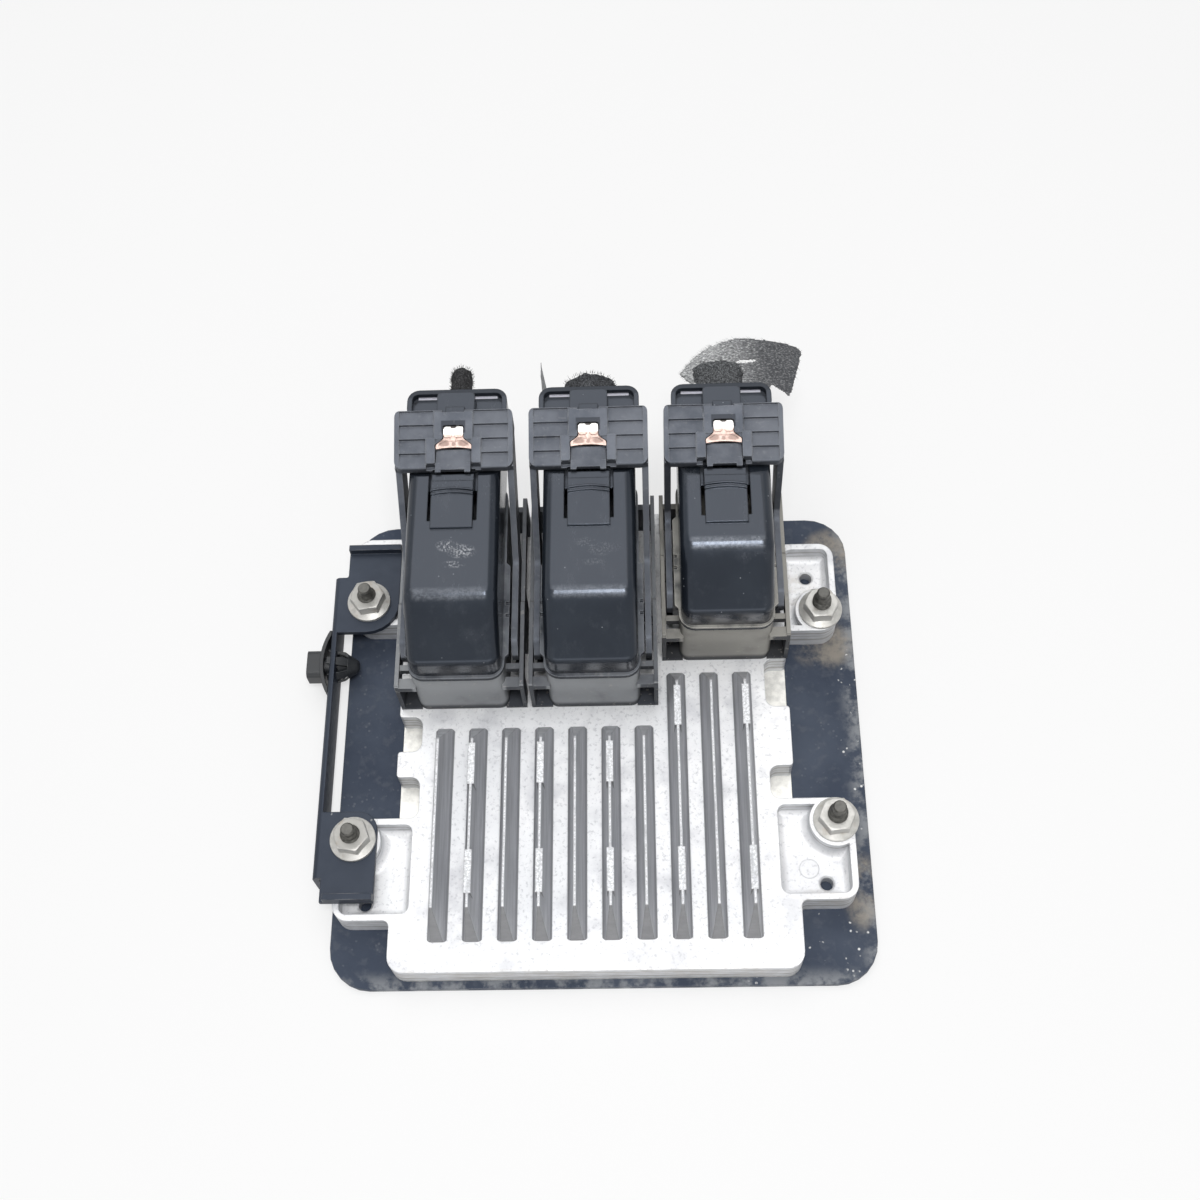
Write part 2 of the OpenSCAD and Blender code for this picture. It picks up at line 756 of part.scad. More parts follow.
module guard_side(i) {
    f = front_of(i);
    py = pivot_y(i);
    back = guard_rear_y - guard_leg;
    window_top = guard_top - guard_drop;
    difference() {
        across([
            [f, face_z, 0], [guard_rear_y, face_z, 0], [guard_rear_y, guard_top, 1.5],
            [f + guard_step, guard_top, 0], [f + guard_step - 1, guard_top + 1, 0], [f, guard_top + 1, 0.8]
        ], guard_in, guard_half);
        across([
            [f + guard_leg, face_z - 1, 0], [py - pivot_land, face_z - 1, 0],
            [py - pivot_land, window_top, 2], [f + guard_leg, window_top, 2]
        ], guard_in - 1, guard_half + 1);
        across([
            [py + pivot_land, face_z - 1, 0], [back, face_z - 1, 0], [back, window_top, 2],
            [py + pivot_land, window_top, 2]
        ], guard_in - 1, guard_half + 1);
    }
    rib_x = shroud_half - shroud_wall / 2;
    rib_end = guard_in + rib_lap;
    box([rib_x, f, guard_top - rib_t], [rib_end, f + front_rib, guard_top]);
    box([rib_x, f + second_rib_y, guard_top - rib_t], [rib_end, f + second_rib_y + second_rib, guard_top]);
    box([rib_x, f, face_z], [rib_end, f + second_rib_y + second_rib, face_z + foot_t]);
    box([rib_x, header_rear_y - rear_rib - 1, face_z], [rib_end, header_rear_y - 1, guard_top - rib_t]);
    translate([lever_in + seat_gap, py, pivot_z - peg_drop]) rotate([0, 90, 0])
        cylinder(r = peg_r, h = guard_in - lever_in);
}

module header(i) {
    f = front_of(i);
    inner = shroud_half - shroud_wall;
    color("#5a5d60") translate([conn_x_of(i), 0, 0]) difference() {
        union() {
            slab(box_outline(-shroud_half, f, shroud_half, header_rear_y, 3), face_z, shroud_top);
            translate([-conn_x_of(i), 0, 0]) header_mouth(i, seat_gap, face_z - roof_t, face_z + 1);
            both_sides() guard_side(i);
        }
        slab(box_outline(-inner, f + shroud_wall, inner, header_rear_y - shroud_wall, 2),
            face_z + header_floor, shroud_top + 1);
        for (r = [0:pin_rows - 1], c = [0:pin_cols(i) - 1])
            translate([pin_x(r) - pin_s / 2 - running_gap, pin_y(i, c) - pin_s / 2 - running_gap, 0])
                cube([pin_s + 2 * running_gap, pin_s + 2 * running_gap, shroud_top]);
    }
}

module header_pins(i) {
    color("#c9b26a") for (r = [0:pin_rows - 1], c = [0:pin_cols(i) - 1])
        translate([conn_x_of(i) + pin_x(r) - pin_s / 2, pin_y(i, c) - pin_s / 2, board_z - pin_tail])
            cube([pin_s, pin_s, pin_top - board_z + pin_tail]);
}

module header_seal(i) {
    color("#7d4a3a") seal_ring(i, seat_gap, face_z - seal_t, face_z);
}

// Plugs: bodies, seals and wire covers

plug_floor_z = face_z + header_floor + 1;
flange_over = 0.8;
plug_seal_z = plug_floor_z + 3;
plug_seal_h = 4;
plug_seal_in = 1.2;
side_ear_half = 8;
side_ear_drop = 4.5;
ledge_front = 6.3;
ledge_rear = 39;
ledge_corner = 1.1;
ledge_grooves = [19.9, 24.1];
ledge_groove_w = 1.2;
ledge_groove_d = 1;

module plug_block(i, inset, z0, z1) {
    half = plug_half - inset;
    f = front_of(i) + shroud_wall + slide_gap + inset;
    slab(box_outline(-half, f, half, header_rear_y - shroud_wall - slide_gap - inset, 1.6), z0, z1);
}

module plug_body(i) {
    f = front_of(i);
    py = pivot_y(i);
    hole = pin_s + 1;
    half = side_ear_in - eps;
    color("#2c2e31") translate([conn_x_of(i), 0, 0]) difference() {
        union() {
            plug_block(i, 0, plug_floor_z, flange_z + eps);
            slab(box_outline(-half, f - flange_over, half, header_rear_y + flange_over, 5),
                flange_z, hood_z);
            both_sides() {
                across([
                    [py - side_ear_half, hood_z, 0], [py + side_ear_half, hood_z, 0],
                    [py + side_ear_half, pivot_z - side_ear_drop, 4],
                    [py - side_ear_half, pivot_z - side_ear_drop, 4]
                ], side_ear_in, side_ear_outer);
                slab([
                    [half - 2, f + ledge_front, 0], [side_ear_outer - ledge_corner, f + ledge_front, 0],
                    [side_ear_outer, f + ledge_front + ledge_corner, 0],
                    [side_ear_outer, f + ledge_rear - ledge_corner, 0],
                    [side_ear_outer - ledge_corner, f + ledge_rear, 0], [half - 2, f + ledge_rear, 0]
                ], flange_z, hood_z);
                translate([side_ear_in, py, pivot_z]) rotate([0, 90, 0])
                    cylinder(r = pivot_r, h = lever_half - side_ear_in);
            }
        }
        for (r = [0:pin_rows - 1], c = [0:pin_cols(i) - 1])
            translate([pin_x(r) - hole / 2, pin_y(i, c) - hole / 2, plug_floor_z - 1])
                cube([hole, hole, pin_top + 2 - plug_floor_z]);
        for (y = ledge_grooves) both_sides()
            box([half, f + y, hood_z - ledge_groove_d],
                [side_ear_outer + 1, f + y + ledge_groove_w, hood_z + 1]);
        difference() {
            plug_block(i, -1, plug_seal_z, plug_seal_z + plug_seal_h);
            plug_block(i, plug_seal_in, 0, flange_z);
        }
    }
}

module plug_seal(i) {
    color("#8a4b2f") translate([conn_x_of(i), 0, 0]) difference() {
        plug_block(i, -slide_gap / 4, plug_seal_z + seat_gap, plug_seal_z + plug_seal_h - seat_gap);
        plug_block(i, plug_seal_in - seat_gap, 0, flange_z);
    }
}

cover_set = 0.2;
hood_end = bar_rear_y + 2;
dip_z = bar_z - cover_dip;
tray_front_y = bar_rear_y + 1.2;
hood_rear_y = tray_front_y + tray_len;
tray_top = hood_z + 22.3;
tray_base = hood_z + 2;
tray_half = tray_w / 2;
tray_rim = 1.6;
tray_depth = 2.4;
block_half = 6;
block_rear_y = hood_rear_y - 2.7;
block_corner = 1.5;
block_top = tray_top + 2.6;
tab_half = 3;
tab_reach = 1.1;
tab_top = block_top + 1;
tongue_front_y = bar_front_y - 21.2;
tongue_top = hood_top + tongue_h;
tongue_heel_z = tongue_top - 0.8;
tongue_heel = 2.6;
tongue_step = 0.9;
slot_w = 1.1;
slot_front_y = bar_front_y - 18.2;
ridge_r = 30;
ridge_t = 0.6;
ridge_h = 0.4;
ridges = [tongue_rear_y - 7.4, tongue_rear_y - 6];

function exit_r(i) = i == 0 ? thin_bundle_r : bundle_r;
function bar_swing(i) = norm([bar_front_y - pivot_y(i), bar_z - pivot_z]);
function tongue_swing(i) = norm([tongue_rear_y - pivot_y(i), tongue_heel_z - pivot_z]);

// The wire cover's outer form, or the space inside it when inset
module hood_form(i, inset) {
    f = front_of(i) + cover_set;
    r = hood_r - inset;
    base = inset > 0 ? hood_z - 1 : hood_z;
    crest_y = f + hood_slope_run + 0.4 * hood_r;
    hull() for (s = [-1, 1]) translate([s * (hood_half - hood_r), 0, 0]) {
        translate([0, f + hood_r, base]) cylinder(r = r, h = 1, $fn = 28);
        translate([0, hood_end - hood_r, base]) cylinder(r = r, h = 1, $fn = 28);
        translate([0, f + hood_r, hood_z + hood_front_h - 0.43 * hood_r]) sphere(r, $fn = 28);
        translate([0, crest_y, hood_top - hood_r]) sphere(r, $fn = 28);
        translate([0, hood_end - hood_r, hood_top - hood_r]) sphere(r, $fn = 28);
    }
}

// Latch tongue with a stepped front, curved grip ridges and a lower heel
module tongue() {
    root = hood_top - 1.5;
    heel_y = tongue_rear_y - tongue_heel;
    across([
        [tongue_front_y, root, 0], [tongue_rear_y, root, 0], [tongue_rear_y, tongue_heel_z, 0.4],
        [heel_y, tongue_heel_z, 0], [heel_y - 0.4, tongue_top, 0],
        [tongue_front_y, hood_top + tongue_step, 0.3]
    ], -tongue_half, tongue_half);
    intersection() {
        for (y = ridges) difference() {
            translate([0, y - ridge_r, root])
                cylinder(r = ridge_r + ridge_t, h = tongue_top + ridge_h - root, $fn = 96);
            translate([0, y - ridge_r, root - 1]) cylinder(r = ridge_r, h = tongue_h + 6, $fn = 96);
        }
        box([-tongue_half, tongue_front_y, root], [tongue_half, heel_y - 1, tongue_top + 2]);
    }
}

// Space above the wire cover that the crossbar swings through
module bar_room(i) {
    difference() {
        box([-tray_half - 1, pivot_y(i), dip_z], [tray_half + 1, tray_front_y, tongue_top + 6]);
        translate([-tray_half - 2, pivot_y(i), pivot_z]) rotate([0, 90, 0])
            cylinder(r = bar_swing(i) - slide_gap, h = tray_w + 4, $fn = 180);
        box([-tongue_half, 0, hood_top - 1.5], [tongue_half, tongue_rear_y, tongue_top + 2]);
        box([-tab_half, bar_rear_y - tab_reach, 0], [tab_half, tray_front_y + 1, tab_top]);
    }
}

module wire_cover(i) {
    floor_z = dip_z - hood_wall;
    tray_in = tray_half - tray_rim;
    color("#1d2230") translate([conn_x_of(i), 0, 0]) difference() {
        union() {
            hood_form(i, 0);
            slab(box_outline(-tray_half, tray_front_y, tray_half, hood_rear_y, 4), tray_base, tray_top);
            slab(box_outline(-hood_half, bar_front_y, hood_half, hood_end + 2, 2), tray_base, dip_z);
            tongue();
            box([-tab_half, bar_rear_y - tab_reach, dip_z - 1], [tab_half, tray_front_y + 2, tab_top]);
        }
        difference() {
            hood_form(i, hood_wall);
            box([-tray_half, bar_front_y - 4 - hood_wall, floor_z], [tray_half, hood_rear_y, hood_top + 1]);
        }
        bar_room(i);
        both_sides() box([tongue_half, slot_front_y, hood_top - hood_wall - 1],
            [tongue_half + slot_w, bar_front_y + 1, hood_top + 3]);
        // tray behind the crossbar, with a block in its middle
        difference() {
            slab(box_outline(-tray_in, tray_front_y + 1, tray_in, hood_rear_y - tray_rim, 2),
                tray_top - tray_depth, tray_top + 1);
            slab(box_outline(-block_half, tray_front_y - 1, block_half, block_rear_y, block_corner),
                0, tray_top + 2);
        }
        translate([0, hood_end - hood_wall - 3, bundle_z]) rotate([-90, 0, 0])
            cylinder(r = exit_r(i) + seat_gap, h = hood_rear_y);
    }
    color("#1d2230") translate([conn_x_of(i), 0, 0])
        slab(box_outline(-block_half, tray_front_y + 0.5, block_half, block_rear_y, block_corner),
            tray_top - 1, block_top);
}

// Levers: cam plates with a spiral groove each, joined by a stepped crossbar

cam_front = 17;
cam_clear = 0.9;
cam_drop = pivot_h - cam_clear;
cam_rise = 9.5;
arm_back = 14;
arm_fillet = 2;
groove_run_out = 16;
groove_steps = 24;
step_drop = 1;
step_count = 4;
step_front = 0.4;
panel_edge = 1.5;
panel_gap = 0.2;
shoulder_in = 5.7;
shoulder_out = 8.6;
shoulder_front = 1.2;
shoulder_len = 8.4;
shoulder_h = 0.7;
block_w = 6.1;
block_len = 9;
block_h = 0.5;
window_y = bar_front_y + 5.7;
window_len = 7.7;
window_front = 5.8;
window_back = 3.3;
window_waist = 1.6;
window_neck = 3.6;
grip_front = 1.5;
grip_half = 5.5;
grip_face = 3.5;
grip_z = bar_z + 4.1;
grip_drop = 0.6;
stub_in = 3.7;
stub_reach = 2.3;
stub_h = 0.9;
bar_slope = atan(bar_rise / bar_len);

function bar_top(y) = bar_z + bar_t + bar_rise * (y - bar_front_y) / bar_len;

// Path of the header's peg over the cam plate while the lever turns by an angle
function cam_r(a) = peg_drop + plug_lift * a / lever_open;
function cam_slope() = plug_lift * 180 / (PI * lever_open);
function cam_point(a) = cam_r(a) * [cos(-90 - a), sin(-90 - a)];
function cam_dir(a) =
    unit(cam_slope() * [cos(-90 - a), sin(-90 - a)] + cam_r(a) * [sin(-90 - a), -cos(-90 - a)]);
function cam_side(a, d) = cam_point(a) + d * [-cam_dir(a)[1], cam_dir(a)[0]];
function groove_angle(k) = (lever_open + groove_run_out) * k / groove_steps;
function groove(half) = concat(
    [for (k = [0:groove_steps]) cam_side(groove_angle(k), half)],
    [for (k = [groove_steps:-1:0]) cam_side(groove_angle(k), -half)]);

function lever_outline(i) =
    let (py = pivot_y(i), pz = pivot_z)
    [
        [py - cam_front, pz - 6, 1], [py - cam_front + 1.5, pz - 8.5, 2], [py - 8, pz - cam_drop, 4],
        [py + 4, pz - 11, 4], [py + 17, pz - 4, 4], [bar_front_y + arm_back, bar_z, 2],
        [bar_front_y + arm_back, bar_z + bar_t, 0], [bar_front_y + 1, bar_z + bar_t / 2, 0],
        [bar_front_y + 1, bar_z - 1, 1], [py + 14, pz + cam_rise, 4],
        [py - cam_front + 3, pz + cam_rise, 3], [py - cam_front, pz + 5, 2]
    ];

// Places a flat shape on the crossbar's sloping top at a given distance from front to back
module on_bar(y) {
    translate([0, y, bar_top(y)]) rotate([bar_slope, 0, 0]) children();
}

module window(inset, z0, z1) {
    wide = window_front - inset;
    narrow = window_back - inset;
    end = window_len - inset;
    slab([
        [-wide, inset, 0.4], [wide, inset, 0.4], [wide, window_waist, 0.8], [narrow, window_neck, 0.8],
        [narrow, end, 0.8], [-narrow, end, 0.8], [-narrow, window_neck, 0.8], [-wide, window_waist, 0.8]
    ], z0, z1);
}

// Faceted pad in the crossbar's front opening, with two stubs over the tongue's heel
module grip_pad() {
    along([
        [-grip_half, bar_z + 1, 0], [grip_half, bar_z + 1, 0], [grip_half, grip_z - grip_drop, 0],
        [grip_face, grip_z, 0], [-grip_face, grip_z, 0], [-grip_half, grip_z - grip_drop, 0]
    ], bar_front_y - grip_front, window_y - 0.2);
    both_sides() box([stub_in, bar_front_y - stub_reach, grip_z - stub_h],
        [grip_half, bar_front_y + 1, grip_z - 0.1]);
}

module crossbar() {
    difference() {
        union() {
            intersection() {
                across([
                    [bar_front_y, bar_z, 0], [bar_rear_y, bar_z, 0.6], [bar_rear_y, bar_top(bar_rear_y), 1],
                    [bar_front_y, bar_top(bar_front_y), 0.8]
                ], -bar_half, bar_half);
                slab(box_outline(-bar_half, bar_front_y, bar_half, bar_rear_y, 2.5),
                    bar_z - 1, bar_top(bar_rear_y) + 1);
            }
            on_bar(bar_front_y + shoulder_front) both_sides()
                slab(box_outline(shoulder_in, 0, shoulder_out, shoulder_len, 0.6), -1.5, shoulder_h);
            on_bar(window_y + window_neck - 0.6)
                slab(box_outline(-block_w, 0, block_w, block_len, 0.8), -1.5, block_h);
            both_sides() difference() {
                box([lever_in - arm_fillet, bar_front_y + 1, bar_z - arm_fillet],
                    [lever_in + eps, bar_front_y + arm_back - 2, bar_z + eps]);
                translate([lever_in - arm_fillet, bar_rear_y, bar_z - arm_fillet]) rotate([90, 0, 0])
                    cylinder(r = arm_fillet, h = bar_len + 1);
            }
        }
        // shingled grip panels, narrower beside the shoulder blocks
        both_sides() for (k = [0:step_count - 1]) {
            step = (bar_len - 1) / step_count;
            y0 = bar_front_y + step_front + k * step;
            across([
                [y0, bar_top(y0) + 2, 0], [y0, bar_top(y0), 0],
                [y0 + step, bar_top(y0 + step) - step_drop, 0], [y0 + step, bar_top(y0 + step) + 2, 0]
            ], (k < 2 ? shoulder_out : block_w) + panel_gap, bar_half - panel_edge);
        }
        // front opening for the pad, a notch before each shoulder block, and the clip's window
        box([-shoulder_in, bar_front_y - 1, bar_z + 1], [shoulder_in, window_y, bar_top(bar_rear_y)]);
        both_sides() box([shoulder_in, bar_front_y - 1, bar_z + 1],
            [shoulder_out, bar_front_y + shoulder_front, bar_top(bar_rear_y)]);
        on_bar(window_y) window(0, -2 * bar_rise, 3);
        box([-tab_half - slide_gap, bar_rear_y - tab_reach - slide_gap, bar_z - 1],
            [tab_half + slide_gap, bar_rear_y + 1, bar_top(bar_rear_y) + 2]);
    }
    grip_pad();
}

module lever(i) {
    py = pivot_y(i);
    color("#45494f") translate([conn_x_of(i), 0, 0]) difference() {
        union() {
            both_sides() across(lever_outline(i), lever_in, lever_half);
            crossbar();
        }
        translate([-shoulder_in - 1, py, pivot_z]) rotate([0, 90, 0])
            cylinder(r = tongue_swing(i) + slide_gap, h = 2 * shoulder_in + 2, $fn = 180);
        both_sides() translate([lever_in - 1, py, pivot_z]) {
            rotate([0, 90, 0]) cylinder(r = pivot_r + running_gap, h = lever_t + 2);
            rotate([90, 0, 90]) linear_extrude(lever_t + 2) polygon(groove(peg_r + slide_gap));
            translate([0, 0, -peg_drop]) rotate([0, 90, 0]) cylinder(r = peg_r + slide_gap, h = lever_t + 2);
        }
    }
}

module lock_clip(i) {
    clip_gap = 0.2;
    clip_t = 1.8;
    sunk = 0.4;
    hollow_r = 28.8;
    hollow = 0.75;
    color("#c58f7a") translate([conn_x_of(i), 0, 0]) on_bar(window_y) {
        difference() {
            window(clip_gap, -sunk - clip_t, -sunk);
            translate([0, hollow - hollow_r, -sunk - clip_t - 1])
                cylinder(r = hollow_r, h = clip_t + 2, $fn = 96);
            both_sides() slab([
                [0.5, 1.3, 0.2], [4.9, 1, 0.3], [4.6, 1.8, 0.4], [2.6, 3, 0.4], [0.5, 2.8, 0.2]
            ], -sunk - 0.5, 1);
        }
        both_sides() slab(box_outline(0.3, window_neck + 0.2, window_back - clip_gap, window_len - 0.7, 0.9),
            -sunk - 1, 0.4);
        translate([0, window_neck, -sunk - 1]) cylinder(r = 0.9, h = 1.3);
    }
}

// What is left of the harness

stub_y0 = hood_end - 1;
thin_stub_len = 26;
stub_len = 21;
strand_t = 1.2;
strand_z = bundle_z - 1;
strand_edge = [
    [0, 0, 0], [-15.6, 0, 0.8], [-17, 17, 0], [-16.2, 17.5, 0], [-14.2, 2.6, 1], [0, 2.6, 0]
];

module harness_stub(i) {
    r = exit_r(i);
    len = i == 0 ? thin_stub_len : stub_len;
    shoulder = i == 0 ? 0.7 * len : len - 2;
    color("#26221f") translate([conn_x_of(i), stub_y0, bundle_z]) rotate([-90, 0, 0])
        rotate_extrude() polygon([[0, 0], [r, 0], [r, shoulder], [0.75 * r, len], [0, len]]);
    if (i == 1) color("#26221f") translate([conn_x_of(i), hood_rear_y + seat_gap, 0])
        slab(strand_edge, strand_z, strand_z + strand_t);
}

// Loose tape: a sheet bent over the bundle, with an opening where the bundle passes
tape_t = 0.9;
tape_bend_in = 6;
tape_bend_r = 45;
tape_crown_z = bundle_z + 4.5;
tape_span = 60;
tape_pass = bundle_r + slide_gap;
tape_end = stub_y0 + stub_len - hood_rear_y;
tape_edge = [
    [-12.9, 10.6, 0], [-11.3, 7.7, 0], [-8.5, 4.5, 0], [-tape_pass, 4.5, 0],
    [-tape_pass, tape_end, 0], [tape_pass, tape_end, 0], [tape_pass, 2, 0],
    [16.1, 1.5, 0], [17.3, 3.7, 0], [23, 0, 0], [28.6, 20.7, 2],
    [20.5, 21.2, 3], [5.8, 21.7, 3], [-3, 19.1, 2], [-9, 15, 1]
];

module tape_flap() {
    x = conn_x_of(2);
    color("#8b8883") intersection() {
        translate([x + tape_bend_in, hood_rear_y - tape_span / 4, tape_crown_z - tape_bend_r])
            rotate([-90, 0, 0]) difference() {
                cylinder(r = tape_bend_r, h = tape_span, $fn = 120);
                translate([0, 0, -1]) cylinder(r = tape_bend_r - tape_t, h = tape_span + 2, $fn = 120);
            }
        translate([x, hood_rear_y, 0]) slab(tape_edge, bundle_z - 2 * bundle_r, tape_crown_z + 1);
    }
}

mounting_plate();
mounting_studs();
flange_nuts();
side_bracket();
harness_clip();
case_casting();
bottom_cover();
cover_seal();
circuit_board();
board_screws();
processor();
power_stages();
capacitors();
header(0);  // header_left
header(1);  // header_middle
header(2);  // header_right
header_pins(0);  // header_pins_left
header_pins(1);  // header_pins_middle
header_pins(2);  // header_pins_right
header_seal(0);  // header_seal_left
header_seal(1);  // header_seal_middle
header_seal(2);  // header_seal_right
plug_body(0);  // plug_body_left
plug_body(1);  // plug_body_middle
plug_body(2);  // plug_body_right
plug_seal(0);  // plug_seal_left
plug_seal(1);  // plug_seal_middle
plug_seal(2);  // plug_seal_right
wire_cover(0);  // wire_cover_left
wire_cover(1);  // wire_cover_middle
wire_cover(2);  // wire_cover_right
lever(0);  // lever_left
lever(1);  // lever_middle
lever(2);  // lever_right
lock_clip(0);  // lock_clip_left
lock_clip(1);  // lock_clip_middle
lock_clip(2);  // lock_clip_right
harness_stub(0);  // harness_stub_left
harness_stub(1);  // harness_stub_middle
harness_stub(2);  // harness_stub_right
tape_flap();
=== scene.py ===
import json
import math
import random

import bmesh
import bpy
from mathutils import Matrix, Vector, noise
from mathutils.bvhtree import BVHTree


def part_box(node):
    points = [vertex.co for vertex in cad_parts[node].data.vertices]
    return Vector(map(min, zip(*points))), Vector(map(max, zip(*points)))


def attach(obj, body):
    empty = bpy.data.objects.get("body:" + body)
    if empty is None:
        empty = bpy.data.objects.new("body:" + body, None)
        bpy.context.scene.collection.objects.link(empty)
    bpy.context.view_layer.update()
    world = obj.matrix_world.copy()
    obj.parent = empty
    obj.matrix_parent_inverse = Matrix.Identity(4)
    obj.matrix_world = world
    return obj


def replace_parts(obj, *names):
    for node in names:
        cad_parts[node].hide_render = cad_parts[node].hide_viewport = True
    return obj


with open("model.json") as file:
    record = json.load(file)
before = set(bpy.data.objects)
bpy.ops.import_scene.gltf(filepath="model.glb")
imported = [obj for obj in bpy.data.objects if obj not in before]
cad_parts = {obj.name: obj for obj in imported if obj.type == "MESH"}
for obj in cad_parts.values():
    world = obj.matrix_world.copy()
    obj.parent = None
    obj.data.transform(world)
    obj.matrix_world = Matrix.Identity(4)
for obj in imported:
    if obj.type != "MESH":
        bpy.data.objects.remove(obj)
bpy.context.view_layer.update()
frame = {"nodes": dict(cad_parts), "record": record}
MM = 0.001
SIDES = ("left", "middle", "right")
SLOT = {s["node"]: s["material_slot"] for s in frame["record"]["subparts"]}
BODY = {n: b for b, ns in frame["record"]["behaviour"]["bodies"].items() for n in ns}

# Places that finishes and pieces share, in millimetres: the tops of the nuts and the fins, the fins' height,
# the case's upper face, the floor of a wire cover's rear tray over its foot, and the hoods' height and top
NUT_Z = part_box("flange_nuts")[1].z / MM
FIN_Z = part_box("case_casting")[1].z / MM
FIN_H = 17.0
FACE_Z = FIN_Z - FIN_H
TRAY_FLOOR = 19.9
HOOD_H = 23.1
HOOD_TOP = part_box("plug_body_left")[1].z / MM + HOOD_H
# A hood's crest: its distance from the front, its radius in the CAD and the angle between top and front slope
CREST_IN = 15.8
CREST_R = 4.0
CREST_TURN = math.radians(43)
# The x range in which the headers' rails are dark
SHADED_RAILS = (-28, 18)
# The least and greatest length of a loose fibre
FIBRE_LEN = (0.5, 1.3)
# The radius of the small hole that a lathe's end cap closes, in metres
POLE = 0.01 * MM
# The tint of reflections on dark paint and plastic
COOL = (0.74, 0.83, 1.0)
WHITE = (1, 1, 1, 1)


def centre(node):
    """The x of the middle of a CAD node."""
    low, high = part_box(node)
    return (low.x + high.x) / 2


def scaled(colour, share):
    return tuple(min(1.0, share * c) for c in colour)


# Shader helpers

class Sock:
    """One shader output. Arithmetic on it adds Math nodes to its tree."""

    def __init__(self, tree, out):
        self.tree = tree
        self.out = out

    def node(self, kind, settings=None, ins=None, out=0):
        return add_node(self.tree, kind, settings, ins, out)

    def math(self, op, *others):
        return self.node("ShaderNodeMath", {"operation": op}, dict(enumerate((self, *others))))

    def reflected(self, op, other):
        return self.node("ShaderNodeMath", {"operation": op}, {0: other, 1: self})

    def __add__(self, other):
        return self.math("ADD", other)

    def __radd__(self, other):
        return self.math("ADD", other)

    def __sub__(self, other):
        return self.math("SUBTRACT", other)

    def __rsub__(self, other):
        return self.reflected("SUBTRACT", other)

    def __mul__(self, other):
        return self.math("MULTIPLY", other)

    def __rmul__(self, other):
        return self.math("MULTIPLY", other)

    def __truediv__(self, other):
        return self.math("DIVIDE", other)

    def __rtruediv__(self, other):
        return self.reflected("DIVIDE", other)

    def __neg__(self):
        return self.math("MULTIPLY", -1.0)

    def abs(self):
        return self.math("ABSOLUTE")

    def max(self, other):
        return self.math("MAXIMUM", other)

    def step(self, low, high):
        """0 below low, 1 above high and smooth between them, or the reverse where low is the larger."""
        return self.node("ShaderNodeMapRange", {"interpolation_type": "SMOOTHSTEP"},
                         {0: self, 1: low, 2: high, 3: 0.0, 4: 1.0})

    def between(self, low, high, soft):
        """1 from low to high, fading to 0 over a soft width outside them."""
        return self.step(low - soft, low) * self.step(high + soft, high)

    def mix(self, a, b):
        """Colour a where this is 0 and colour b where it is 1."""
        return self.node("ShaderNodeMix", {"data_type": "RGBA"}, {0: self, 6: a, 7: b}, 2)

    def axis(self, k):
        return self.node("ShaderNodeSeparateXYZ", None, {0: self}, k)


def add_node(tree, kind, settings=None, ins=None, out=0):
    n = tree.nodes.new(kind)
    for name, value in (settings or {}).items():
        setattr(n, name, value)
    for key, value in (ins or {}).items():
        plug(tree, n.inputs[key], value)
    return Sock(tree, n.outputs[out])


def plug(tree, socket, value):
    """Links a Sock to an input, or sets the input to a plain value."""
    if isinstance(value, Sock):
        tree.links.new(value.out, socket)
    elif socket.type == "RGBA" and len(value) == 3:
        socket.default_value = (*value, 1.0)
    else:
        socket.default_value = value


